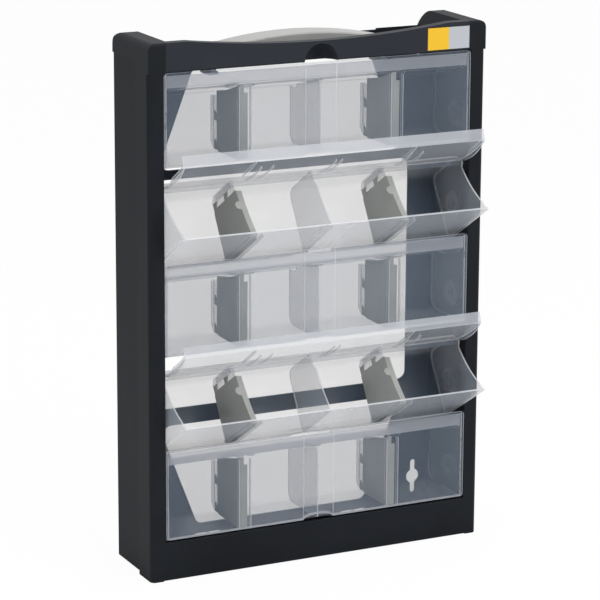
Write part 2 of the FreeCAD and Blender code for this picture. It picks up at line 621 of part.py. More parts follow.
def bin_end_outline():
    """Side view of a bin's end wall, from the plate's foot round the top edge to the heel."""
    plate_top = ROW_PITCH - PLATE_TOP_GAP
    horn_top = (BIN_WALL, plate_top - WALL_HORN_DROP)
    horn_foot = (WALL_HORN_DEPTH, ROW_PITCH - WALL_HORN_FOOT)
    axis = (LID_AXIS_BACK, LID_AXIS_HEIGHT)
    heel = corner_arc(BIN_DEPTH, FLOOR_RISE, HEEL_RADIUS, -1, 1)
    return [(0, PLATE_FOOT), (0, plate_top), (BIN_WALL, plate_top), horn_top,
            (dish(horn_top, horn_foot, WALL_HORN_DISH), horn_foot), (dish(horn_foot, axis, WALL_DISH_DEPTH), axis),
            (BIN_DEPTH, REAR_WALL_HEIGHT), (BIN_DEPTH, FLOOR_RISE + HEEL_RADIUS),
            (heel, (BIN_DEPTH - HEEL_RADIUS, FLOOR_RISE)), (FLOOR_FRONT, FLOOR_RISE), (BIN_WALL, PLATE_FOOT)]


def bin_hollow(half):
    """The space inside a bin, open upwards."""
    inner_radius = HEEL_RADIUS - BIN_WALL
    heel = corner_arc(BIN_REAR_INSIDE, BIN_FLOOR, inner_radius, -1, 1)
    high = ROW_PITCH + OVERRUN
    return profile([(BIN_WALL, PLATE_FOOT + BIN_WALL), (BIN_WALL, high), (BIN_REAR_INSIDE, high),
                    (BIN_REAR_INSIDE, BIN_FLOOR + inner_radius),
                    (heel, (BIN_REAR_INSIDE - inner_radius, BIN_FLOOR)),
                    (FLOOR_FRONT + BIN_WALL, BIN_FLOOR)], -half, half)


def under_lid(gap, rear, rear_height, low_x, high_x):
    """Everything of a bin's depth that lies under its closed lid by a gap."""
    front, middle, end = skin_arc(LID_SKIN + gap)
    shoulder_share = (DIVIDER_SHOULDER - front[0]) / (end[0] - front[0])
    shoulder = (DIVIDER_SHOULDER, front[1] + (end[1] - front[1]) * shoulder_share - LID_DISH_DEPTH)
    middle = dish(front, shoulder, LID_DISH_DEPTH)
    return profile([(0, 0), (0, front[1]), front, (middle, shoulder), (DIVIDER_REAR, rear_height),
                    (rear, rear_height), (rear, 0)], low_x, high_x)


def front_plate():
    """Front of a bin with rounded corners, a recessed band and a thumb arch at its foot."""
    top = ROW_PITCH - PLATE_TOP_GAP
    plate = box(-PLATE_HALF, PLATE_HALF, 0, BIN_WALL, PLATE_FOOT, top)
    plate = rounded(plate, PLATE_CORNER_RADIUS, lambda b: b.XLength < BAND_DEPTH and b.ZLength < BAND_DEPTH)
    band = box(-BAND_WIDTH / 2, BAND_WIDTH / 2, -BAND_DEPTH, BAND_DEPTH, 0, ROW_PITCH)
    return plate.cut(band)


def thumb_arch():
    """The cut in the foot of a bin's front plate."""
    low = PLATE_FOOT
    start = (-THUMB_ARCH_HALF, low)
    end = (THUMB_ARCH_HALF, low)
    return panel([start, ((0, low + THUMB_ARCH_HEIGHT), end)], -OVERRUN, FLOOR_FRONT)


def divider_guides(place):
    """Ribs of a bin that hold one removable divider, at the rear wall and behind the plate."""
    ribs = []
    rear_sides = ((place - GUIDE_GAP - GUIDE_WALL, GUIDE_REAR_SHALLOW),
                  (place + DIVIDER_WEB + GUIDE_GAP, GUIDE_REAR_DEPTH))
    for side, depth in rear_sides:
        rear = BIN_REAR_INSIDE - depth
        ribs.append(box(side, side + GUIDE_WALL, rear, BIN_REAR_INSIDE, BIN_FLOOR - BIN_WALL / 2,
                        ROW_PITCH - GUIDE_REAR_DROP))
    front_top = ROW_PITCH - GUIDE_FRONT_DROP
    for side in (place - GUIDE_GAP - GUIDE_WALL, place + DIVIDER_FLANGE + FRONT_GUIDE_OFFSET):
        ribs.append(box(side, side + GUIDE_WALL, BIN_WALL / 2, BIN_WALL + GUIDE_FRONT_DEPTH,
                        PLATE_FOOT, front_top))
    return ribs


def bin_shape():
    """One clear bin in its closed place: plate, floor, walls, middle web, guides and pivot studs."""
    ends = profile(bin_end_outline(), -BIN_HALF, BIN_HALF)
    ear = rod(LID_EAR_RADIUS, -BIN_HALF, BIN_HALF, LID_AXIS_BACK, LID_AXIS_HEIGHT)
    tub = united([ends, ear]).cut(bin_hollow(BIN_INSIDE_HALF))
    web = under_lid(DIVIDER_LID_GAP, BIN_DEPTH - BIN_REAR_WALL / 2, ROW_PITCH - WEB_REAR_DROP,
                    -CENTRE_WEB / 2, CENTRE_WEB / 2)
    pieces = [web] + [rib for place in DIVIDER_PLACES for rib in divider_guides(place)]
    inner_limit = profile(bin_end_outline(), -BIN_HALF, BIN_HALF)
    pieces = [piece.common(inner_limit) for piece in pieces]
    body = united([tub, front_plate()] + pieces)
    for side in (-1, 1):
        ring_in = side * (BIN_INSIDE_HALF - PIVOT_RING_DEPTH)
        ring_out = side * (BIN_HALF - BIN_WALL / 2)
        low, high = min(ring_in, ring_out), max(ring_in, ring_out)
        ring = rod(PIVOT_RING_RADIUS, low, high, PIVOT_BACK, PIVOT_HEIGHT)
        ring = ring.cut(rod(PIVOT_RING_RADIUS - PIVOT_RING_WIDTH, low - OVERRUN, high + OVERRUN,
                            PIVOT_BACK, PIVOT_HEIGHT))
        stud_in = side * (BIN_HALF - BIN_WALL / 2)
        stud_out = side * (OPENING_HALF - PIVOT_END_GAP)
        stud = rod(PIVOT_RADIUS, min(stud_in, stud_out), max(stud_in, stud_out), PIVOT_BACK, PIVOT_HEIGHT)
        body = united([body, ring, stud])
    pin_hole = rod(LID_PIN_RADIUS + LID_PIN_CLEARANCE, -PLATE_HALF - OVERRUN, PLATE_HALF + OVERRUN,
                   LID_AXIS_BACK, LID_AXIS_HEIGHT)
    return body.cut(pin_hole).cut(thumb_arch())


def skin_band(lift, thickness, start, low_x, high_x):
    """A band that follows the lid skin's upper face, from a place behind the strip to the axis."""
    front, middle, rear = skin_arc(-lift)
    low_front, low_middle, low_rear = skin_arc(thickness - lift)
    band = profile([low_front, front, (middle, rear), low_rear, (low_middle, low_front)], low_x, high_x)
    limit = box(low_x, high_x, start, LID_AXIS_BACK, 0, ROW_PITCH + lift)
    return band.common(limit)


def lid_shape():
    """One clear lid in its closed place: strip, dished skin, end walls, ribs, barrel and pins."""
    strip = box(-LID_HALF, LID_HALF, LID_FRONT, LID_STRIP_BACK, LID_STRIP_FOOT, LID_TOP)
    skin = skin_band(0, LID_SKIN, LID_FRONT, -LID_HALF, LID_HALF)
    barrel = rod(LID_BARREL_RADIUS, -LID_HALF, LID_HALF, LID_AXIS_BACK, LID_AXIS_HEIGHT)
    pin_end = BIN_HALF - LID_PIN_END_GAP
    pins = rod(LID_PIN_RADIUS, -pin_end, pin_end, LID_AXIS_BACK, LID_AXIS_HEIGHT)
    pieces = [strip, skin, barrel, pins]
    end_stop = box(-LID_HALF, LID_HALF, LID_FRONT, LID_AXIS_BACK - LID_END_SETBACK, 0, ROW_PITCH)
    for side in (-1, 1):
        end = side * (LID_HALF - LID_END_WALL / 2)
        rib = side * LID_RIB_PLACE
        pieces.append(skin_band(LID_END_RISE, LID_END_RISE + LID_SKIN / 2, LID_FRONT,
                                end - LID_END_WALL / 2, end + LID_END_WALL / 2).common(end_stop))
        pieces.append(skin_band(LID_RIB_RISE, LID_RIB_RISE + LID_SKIN / 2, LID_FRONT,
                                rib - LID_RIB_WALL / 2, rib + LID_RIB_WALL / 2).common(end_stop))
    return united(pieces)


def divider_room(place, gap, low_x, high_x):
    """The space that a divider may fill between the plate, the floor, its rear edge and the lid."""
    front = BIN_WALL + LID_PLATE_GAP
    low = BIN_FLOOR + DIVIDER_FLOOR_GAP
    foot = PLATE_FOOT + BIN_WALL + DIVIDER_FLOOR_GAP
    limit = profile([(front, foot), (front, ROW_PITCH), (DIVIDER_REAR, ROW_PITCH),
                     (DIVIDER_REAR, low + DIVIDER_HEEL), (DIVIDER_REAR - DIVIDER_HEEL, low),
                     (FLOOR_FRONT + BIN_WALL, low)], low_x, high_x)
    return under_lid(gap, DIVIDER_REAR, ROW_PITCH - DIVIDER_REAR_DROP, low_x, high_x).common(limit)


def divider_tab(place, height):
    """One hooked tab on a divider's rear edge, that sits between two guides."""
    rear = DIVIDER_REAR + TAB_REACH
    return profile([(DIVIDER_REAR - DIVIDER_WEB, height), (rear, height), (rear, height + TAB_TALL),
                    (rear - TAB_HOOK, height + TAB_TALL - TAB_HOOK),
                    (DIVIDER_REAR - DIVIDER_WEB, height + TAB_TALL - TAB_HOOK)], place, place + DIVIDER_WEB)


def divider_shape(place):
    """One removable divider in its closed place: a web, flanges in front and on top, a lobe and rear tabs."""
    web = divider_room(place, DIVIDER_LID_GAP, place, place + DIVIDER_WEB)
    high = ROW_PITCH
    inside = BIN_WALL + LID_PLATE_GAP + DIVIDER_FLANGE_WALL
    low_x = place - LOBE_RADIUS - LOBE_OFFSET
    high_x = place + DIVIDER_FLANGE
    room = divider_room(place, DIVIDER_LID_GAP, low_x, high_x)
    below = divider_room(place, DIVIDER_LID_GAP + DIVIDER_FLANGE_WALL, low_x, high_x)
    front = room.common(box(place, high_x, 0, inside, 0, high))
    front = front.cut(box(place + DIVIDER_NARROW, high_x, 0, inside, high - DIVIDER_STEP_DROP, high))
    skin = room.cut(below).common(box(low_x, high_x, inside, DIVIDER_SHOULDER, ROW_PITCH / 2, high))
    top = skin.common(box(place, place + DIVIDER_TOP_FLANGE, 0, DIVIDER_SHOULDER, 0, high))
    lobe = skin.common(Part.makeCylinder(LOBE_RADIUS, high, point(place - LOBE_OFFSET, LOBE_BACK, 0)))
    lobe = lobe.common(box(low_x, place + DIVIDER_WEB, 0, DIVIDER_REAR, 0, high))
    tabs = [divider_tab(place, height) for height in TAB_HEIGHTS]
    return united([web, front, top, lobe] + tabs)


def tilted(shape, row):
    """Puts a piece of a bin into its row, tilted about the bin's pivot where the row stands open."""
    placed = shape.copy()
    if row in OPEN_ROWS:
        placed.rotate(point(0, PIVOT_BACK, PIVOT_HEIGHT), X_AXIS, TILT_OPEN)
    placed.translate(point(0, 0, row_bottom(row)))
    return placed


def flapped(shape, row):
    """Puts a lid into its row, turned back about its own pins where the row stands open."""
    placed = shape.copy()
    if row in OPEN_ROWS:
        placed.rotate(point(0, LID_AXIS_BACK, LID_AXIS_HEIGHT), X_AXIS, -TILT_OPEN - LID_RISE_ANGLE)
    return tilted(placed, row)


def cabinet_pieces():
    """The fixed pieces by name."""
    pieces = {"sill": sill(), "top_rail": top_rail(), "base_panel": base_panel(), "back_panel": back_panel(),
              "top_tray": tray(), "carry_handle": carry_handle(), "label_plate": label_plate()}
    pairs = {"frame_stile": frame_stile(), "side_shell": side_shell(), "corner_cap": corner_cap(),
             "pivot_bearings": bearings(), "frame_screws": frame_screws()}
    for name, shape in pairs.items():
        pieces[name + "_right"] = shape
        pieces[name + "_left"] = mirrored(shape)
    return pieces


def row_pieces():
    """The bins, lids and dividers by name."""
    bin_solid = bin_shape()
    lid_solid = lid_shape()
    dividers = dict(zip(("left", "right"), (divider_shape(place) for place in DIVIDER_PLACES)))
    pieces = {}
    for row in range(1, ROW_COUNT + 1):
        pieces["bin_%d" % row] = tilted(bin_solid, row)
        pieces["lid_%d" % row] = flapped(lid_solid, row)
        for side, solid in dividers.items():
            pieces["divider_%d_%s" % (row, side)] = tilted(solid, row)
    return pieces


def write_pieces():
    """Moves each piece to the cabinet's own frame and writes it."""
    os.makedirs("parts", exist_ok=True)
    pieces = cabinet_pieces()
    pieces.update(row_pieces())
    for name, shape in pieces.items():
        placed = shape.copy()
        placed.translate(point(0, -CABINET_DEPTH / 2, 0))
        if not placed.isValid():
            print("not valid:", name)
        print(name, "solids", len(placed.Solids), "volume", round(placed.Volume))
        placed.exportStep("parts/%s.step" % name)


write_pieces()
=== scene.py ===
"""Dresses the parts bin cabinet: clear bins and lids, grey dividers, anthracite housing, and the studio."""

import logging
import math
from dataclasses import dataclass, field
from enum import Enum

import bmesh
import bpy
import numpy as np
from mathutils import Matrix

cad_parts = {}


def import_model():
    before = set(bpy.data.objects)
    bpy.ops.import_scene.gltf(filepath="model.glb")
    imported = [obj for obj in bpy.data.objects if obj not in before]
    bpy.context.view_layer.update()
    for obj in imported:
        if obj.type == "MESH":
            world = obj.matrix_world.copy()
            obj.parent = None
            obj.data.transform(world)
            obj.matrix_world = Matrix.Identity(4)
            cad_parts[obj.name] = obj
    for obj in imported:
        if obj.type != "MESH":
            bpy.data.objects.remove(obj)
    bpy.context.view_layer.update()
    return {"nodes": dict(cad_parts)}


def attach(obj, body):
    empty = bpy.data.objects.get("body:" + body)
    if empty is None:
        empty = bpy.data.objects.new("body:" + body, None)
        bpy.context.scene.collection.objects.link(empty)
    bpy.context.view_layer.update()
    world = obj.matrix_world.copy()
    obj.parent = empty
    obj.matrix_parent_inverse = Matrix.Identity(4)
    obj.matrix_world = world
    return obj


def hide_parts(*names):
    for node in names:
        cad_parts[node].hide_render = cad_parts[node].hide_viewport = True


LOG = logging.getLogger("parts_bin_cabinet")
MILLIMETRE = 0.001
WELD_METRES = 1e-6
BEVEL_MM = 0.5
# The edge slot carries a painted highlight, and the frosted slot carries frosting with a painted highlight.
FACE_SLOT, EDGE_HIGHLIGHT_SLOT, FROSTED_HIGHLIGHT_SLOT = 0, 1, 2
Points = np.ndarray


# Colours and nodes


def linear(code: str, alpha: float = 1.0) -> tuple[float, float, float, float]:
    """Turns an sRGB hex colour into linear light.

    Args:
        code: The colour as "#rrggbb".
        alpha: The fourth value.

    Returns:
        Red, green and blue in linear light, and alpha.
    """
    parts = [int(code[i : i + 2], 16) / 255 for i in (1, 3, 5)]
    red, green, blue = [c / 12.92 if c <= 0.04045 else ((c + 0.055) / 1.055) ** 2.4 for c in parts]
    return red, green, blue, alpha


def add_node(
    tree: bpy.types.NodeTree,
    kind: str,
    settings: dict[str, object] | None = None,
    values: dict[str, object] | None = None,
    links: dict[str, bpy.types.NodeSocket] | None = None,
) -> bpy.types.Node:
    """Adds a node with its settings, its socket values and its links.

    Args:
        tree: The tree that the node goes into.
        kind: Blender's name of the node type.
        settings: Attributes of the node.
        values: Default values by input name or number.
        links: Output sockets by the input name or number that they feed.

    Returns:
        The new node.
    """
    made = tree.nodes.new(kind)
    for name, value in (settings or {}).items():
        setattr(made, name, value)
    for name, value in (values or {}).items():
        made.inputs[name].default_value = value
    for name, socket in (links or {}).items():
        tree.links.new(socket, made.inputs[name])
    return made


def empty_material(name: str) -> tuple[bpy.types.Material, bpy.types.NodeTree]:
    """Makes a material with no nodes.

    Args:
        name: The material's name.

    Returns:
        The material and its node tree.
    """
    material = bpy.data.materials.new(name)
    material.use_nodes = True
    material.node_tree.nodes.clear()
    return material, material.node_tree


def finish_material(tree: bpy.types.NodeTree, shader: bpy.types.NodeSocket) -> None:
    """Joins a shader to a new material output."""
    add_node(tree, "ShaderNodeOutputMaterial", links={"Surface": shader})


def per_metre(size_mm: float) -> float:
    """Gives the scale of a pattern whose features have a size in millimetres."""
    return 1 / (size_mm * MILLIMETRE)


@dataclass(frozen=True)
class MouldedPlastic:
    """An opaque moulded plastic with a fine grain, a slow drift of colour and a softly uneven gloss."""

    name: str
    colour: str
    drift_colour: str
    roughness: float
    grain_mm: float
    grain_depth_mm: float
    drift_mm: float = 90.0
    gloss: float = 0.5
    smoother: float = 0.06
    rougher: float = 0.08

    def build(self) -> bpy.types.Material:
        """Makes the material.

        Returns:
            The finished material.
        """
        material, tree = empty_material(self.name)
        place = add_node(tree, "ShaderNodeTexCoord").outputs["Object"]
        drift = add_node(
            tree,
            "ShaderNodeTexNoise",
            values={"Scale": per_metre(self.drift_mm), "Detail": 3.0, "Roughness": 0.55},
            links={"Vector": place},
        )
        ramp = add_node(
            tree,
            "ShaderNodeMapRange",
            values={"From Min": 0.35, "From Max": 0.65},
            links={"Value": drift.outputs["Fac"]},
        )
        colour = add_node(
            tree,
            "ShaderNodeMix",
            settings={"data_type": "RGBA"},
            values={6: linear(self.colour), 7: linear(self.drift_colour)},
            links={0: ramp.outputs["Result"]},
        )
        # The grain is about half a millimetre, so only its soft break-up of the gloss shows.
        grain = add_node(
            tree,
            "ShaderNodeTexNoise",
            values={"Scale": per_metre(self.grain_mm), "Detail": 2.0, "Roughness": 0.6},
            links={"Vector": place},
        )
        rough = add_node(
            tree,
            "ShaderNodeMapRange",
            values={"To Min": self.roughness - self.smoother, "To Max": self.roughness + self.rougher},
            links={"Value": drift.outputs["Fac"]},
        )
        bump = add_node(
            tree,
            "ShaderNodeBump",
            values={"Strength": 0.35, "Distance": self.grain_depth_mm * MILLIMETRE},
            links={"Height": grain.outputs["Fac"]},
        )
        shader = add_node(
            tree,
            "ShaderNodeBsdfPrincipled",
            values={"IOR": 1.5, "Specular IOR Level": self.gloss},
            links={
                "Base Color": colour.outputs[2],
                "Roughness": rough.outputs["Result"],
                "Normal": bump.outputs["Normal"],
            },
        )
        finish_material(tree, shader.outputs["BSDF"])
        return material


@dataclass(frozen=True)
class ClearPolypropylene:
    """Clear injection-moulded polypropylene: see-through and blue where faced, milky white at a slant."""

    name: str
    tint: str
    milk: str
    haze: float
    edge_haze: float
    roughness: float
    passing: str = "#f9f8f7"
    through: float = 0.3
    streak_mm: float = 26.0
    streak_stretch: float = 0.35
    streak_haze: float = 0.16
    ripple_mm: float = 0.3
    gloss: float = 0.8

    def build(self) -> bpy.types.Material:
        """Makes the material.

        Returns:
            The finished material.
        """
        material, tree = empty_material(self.name)
        place = add_node(tree, "ShaderNodeTexCoord").outputs["Object"]
        # The plastic flowed along X as it filled the mould, so its streaks are longer that way.
        stretched = add_node(
            tree,
            "ShaderNodeMapping",
            values={"Scale": (self.streak_stretch, 1.0, 1.0)},
            links={"Vector": place},
        )
        streaks = add_node(
            tree,
            "ShaderNodeTexNoise",
            values={"Scale": per_metre(self.streak_mm), "Detail": 4.0, "Distortion": 0.6},
            links={"Vector": stretched.outputs["Vector"]},
        )
        bump = add_node(
            tree,
            "ShaderNodeBump",
            values={"Strength": 0.25, "Distance": self.ripple_mm * MILLIMETRE},
            links={"Height": streaks.outputs["Fac"]},
        )
        glance = add_node(tree, "ShaderNodeLayerWeight", values={"Blend": 0.5}).outputs["Facing"]
        milky = add_node(
            tree,
            "ShaderNodeMapRange",
            settings={"interpolation_type": "SMOOTHSTEP"},
            values={"From Min": 0.12, "From Max": 0.8},
            links={"Value": glance},
        ).outputs["Result"]
        streaked = add_node(
            tree,
            "ShaderNodeMath",
            settings={"operation": "MULTIPLY_ADD"},
            values={1: self.streak_haze, 2: -self.streak_haze / 2},
            links={0: streaks.outputs["Fac"]},
        ).outputs[0]
        colour = add_node(
            tree,
            "ShaderNodeMix",
            settings={"data_type": "RGBA"},
            values={6: linear(self.tint), 7: linear(self.milk)},
            links={0: milky},
        ).outputs[2]
        share = add_node(
            tree,
            "ShaderNodeMath",
            settings={"operation": "ADD", "use_clamp": True},
            links={0: milky, 1: streaked},
        ).outputs[0]
        haze = add_node(
            tree,
            "ShaderNodeMapRange",
            values={"To Min": self.haze, "To Max": self.edge_haze},
            links={"Value": share},
        ).outputs["Result"]
        face = add_node(
            tree,
            "ShaderNodeBsdfPrincipled",
            values={"IOR": 1.49, "Roughness": self.roughness, "Specular IOR Level": self.gloss},
            links={"Base Color": colour, "Normal": bump.outputs["Normal"]},
        ).outputs["BSDF"]
        # Light that falls on the far side comes through the haze.
        glow = add_node(tree, "ShaderNodeBsdfTranslucent", links={"Color": colour}).outputs["BSDF"]
        body = add_node(tree, "ShaderNodeMixShader", values={0: self.through}, links={1: face, 2: glow})
        clear = add_node(tree, "ShaderNodeBsdfTransparent", values={"Color": linear(self.passing)})
        links = {0: haze, 1: clear.outputs[0], 2: body.outputs[0]}
        finish_material(tree, add_node(tree, "ShaderNodeMixShader", links=links).outputs[0])
        return material


@dataclass(frozen=True)
class ZincPlatedSteel:
    """Bright zinc on pressed steel: a metal with a faint mottled roughness."""

    name: str = "zinc plated steel"
    colour: str = "#b9bbbd"
    mottle_mm: float = 1.43

    def build(self) -> bpy.types.Material:
        """Makes the material.

        Returns:
            The finished material.
        """
        material, tree = empty_material(self.name)
        place = add_node(tree, "ShaderNodeTexCoord").outputs["Object"]
        mottle = add_node(
            tree,
            "ShaderNodeTexNoise",
            values={"Scale": per_metre(self.mottle_mm)},
            links={"Vector": place},
        )
        rough = add_node(
            tree,
            "ShaderNodeMapRange",
            values={"To Min": 0.3, "To Max": 0.45},
            links={"Value": mottle.outputs["Fac"]},
        )
        shader = add_node(
            tree,
            "ShaderNodeBsdfPrincipled",
            values={"Base Color": linear(self.colour), "Metallic": 1.0},
            links={"Roughness": rough.outputs["Result"]},
        )
        finish_material(tree, shader.outputs["BSDF"])
        return material


@dataclass(frozen=True)
class PrintedFilm:
    """A coated film label: a yellow field on the left and a grey field on the right, with nothing written."""

    name: str = "coated label film"
    split_x_mm: float = 157.6
    yellow: str = "#dcae18"
    grey: str = "#a9adb3"
    fibre_mm: float = 0.667

    def build(self) -> bpy.types.Material:
        """Makes the material.

        Returns:
            The finished material.
        """
        material, tree = empty_material(self.name)
        place = add_node(tree, "ShaderNodeTexCoord").outputs["Object"]
        axes = add_node(tree, "ShaderNodeSeparateXYZ", links={"Vector": place})
        right = add_node(
            tree,
            "ShaderNodeMath",
            settings={"operation": "GREATER_THAN"},
            values={1: self.split_x_mm * MILLIMETRE},
            links={0: axes.outputs["X"]},
        )
        fibre = add_node(
            tree,
            "ShaderNodeTexNoise",
            values={"Scale": per_metre(self.fibre_mm)},
            links={"Vector": place},
        )
        field_colour = add_node(
            tree,
            "ShaderNodeMix",
            settings={"data_type": "RGBA"},
            values={6: linear(self.yellow), 7: linear(self.grey)},
            links={0: right.outputs[0]},
        )
        rough = add_node(
            tree,
            "ShaderNodeMapRange",
            values={"To Min": 0.28, "To Max": 0.4},
            links={"Value": fibre.outputs["Fac"]},
        )
        shader = add_node(
            tree,
            "ShaderNodeBsdfPrincipled",
            links={"Base Color": field_colour.outputs[2], "Roughness": rough.outputs["Result"]},
        )
        finish_material(tree, shader.outputs["BSDF"])
        return material


class Finish(Enum):
    """The finishes of the cabinet. Each comment says what the making of the material gives the eye, or which
    light is painted into its colour.
    """

    # A spark-eroded mould gives ABS an even matt face with a broad soft sheen and no mirror.
    FRAME = MouldedPlastic("moulded anthracite ABS frame", "#15181c", "#191c21", 0.5, 0.5, 0.05, gloss=0.1)
    # The top rail is the frame's ABS in a lighter copy: painted light, as if more light fell on it from
    # above.
    RAIL_PAINTED_LIGHTER = MouldedPlastic("moulded anthracite ABS rail, painted lighter", "#23262c", "#272a30", 0.5, 0.5, 0.05, gloss=0.12)
    SHELL = MouldedPlastic("moulded anthracite ABS shell", "#12151a", "#16191e", 0.55, 0.6, 0.06, gloss=0.12)
    # The inside is less rubbed, and its bluer colour is painted light: the blue of light that has passed the
    # clear bins.
    INSIDE_PAINTED_BLUE = MouldedPlastic("moulded anthracite ABS inside, painted blue light", "#171e28", "#1c2430", 0.55, 0.6, 0.06, gloss=0.2)
    # Moulded acetal is dense and smooth, so it keeps a narrow waxy shine.
    BEARING = MouldedPlastic("moulded dark grey acetal", "#4b4c50", "#55565a", 0.4, 0.4, 0.02)
    # The polyamide of the grip is smooth enough for a soft bright line along its crown.
    HANDLE = MouldedPlastic("moulded grey polyamide grip", "#969694", "#9e9e9b", 0.38, 0.5, 0.04)
    # Polystyrene from a plain mould is a little glossy, and its grey is slightly uneven.
    DIVIDER = MouldedPlastic("moulded light grey polystyrene", "#9b9d99", "#a4a6a2", 0.45, 0.5, 0.02, 40.0)
    # Polypropylene without pigment scatters more light where it is seen at a slant.
    CLEAR = ClearPolypropylene("clear moulded polypropylene", "#a3b6cd", "#d9e0e9", 0.12, 0.25, 0.16)
    # Edges let out the light that runs inside the wall, so they are painted nearly white and hazier: a
    # painted highlight.
    EDGE_PAINTED_HIGHLIGHT = ClearPolypropylene(
        "clear polypropylene edge, painted highlight", "#f4f6fa", "#f8f9fb", 0.6, 0.8, 0.22, through=0.45
    )
    # An etched mould frosts the strip that the fingers pull, so it hides more of what lies behind; its paler
    # colour is also a painted highlight where the strip catches the light, and the same finish paints the
    # faint highlight on the plate's band edges.
    FROSTED_WITH_PAINTED_HIGHLIGHT = ClearPolypropylene(
        "frosted polypropylene grip strip, painted highlight", "#e9edf4", "#eff2f7", 0.34, 0.47, 0.3, through=0.4
    )
    # Bright zinc plating gives a soft mirror that its crystals break up.
    STEEL = ZincPlatedSteel()
    # The label's coat shines a little, and the paper under it shows as a fine unevenness.
    LABEL = PrintedFilm()


class Dresser:
    """Builds each finish once, and gives it to pieces and nodes."""

    def __init__(self) -> None:
        """Starts with no material made."""
        self._made: dict[Finish, bpy.types.Material] = {}

    def material(self, finish: Finish) -> bpy.types.Material:
        """Gives the material of a finish, making it the first time.

        Args:
            finish: Which finish.

        Returns:
            The material.
        """
        if finish not in self._made:
            self._made[finish] = finish.value.build()
        return self._made[finish]

    def dress(self, piece: bpy.types.Object, *finishes: Finish) -> None:
        """Puts finishes into a piece's material slots, in order.

        Args:
            piece: The piece.
            finishes: One finish per slot.
        """
        # Clearing the slots sets every face back to the first one, so a new mesh is left as it is.
        if len(piece.data.materials):
            piece.data.materials.clear()
        for finish in finishes:
            piece.data.materials.append(self.material(finish))


# Surfaces


@dataclass(frozen=True)
class Place:
    """Where a piece of a row stands: turned about the lid's pins and the bin's pivot, then lifted."""

    pivot: tuple[float, float]
    pins: tuple[float, float]
    lift_mm: float = 0.0
    tilt_deg: float = 0.0
    flap_deg: float = 0.0
    half_depth_mm: float = 49.0

    def apply(self, points: Points) -> Points:
        """Moves points from the closed place in millimetres to the cabinet in metres.

        Each turn is a plane rotation about X: y' = y cos a - z sin a, and z' = y sin a + z cos a.

        Args:
            points: Points, one per row.

        Returns:
            The moved points.
        """
        moved = np.array(points, float)
        for centre, angle in ((self.pins, -self.flap_deg), (self.pivot, self.tilt_deg)):
            turn = math.radians(angle)
            y, z = moved[:, 1] - centre[0], moved[:, 2] - centre[1]
            moved[:, 1] = centre[0] + y * math.cos(turn) - z * math.sin(turn)
            moved[:, 2] = centre[1] + y * math.sin(turn) + z * math.cos(turn)
        moved[:, 1] -= self.half_depth_mm
        moved[:, 2] += self.lift_mm
        return moved * MILLIMETRE


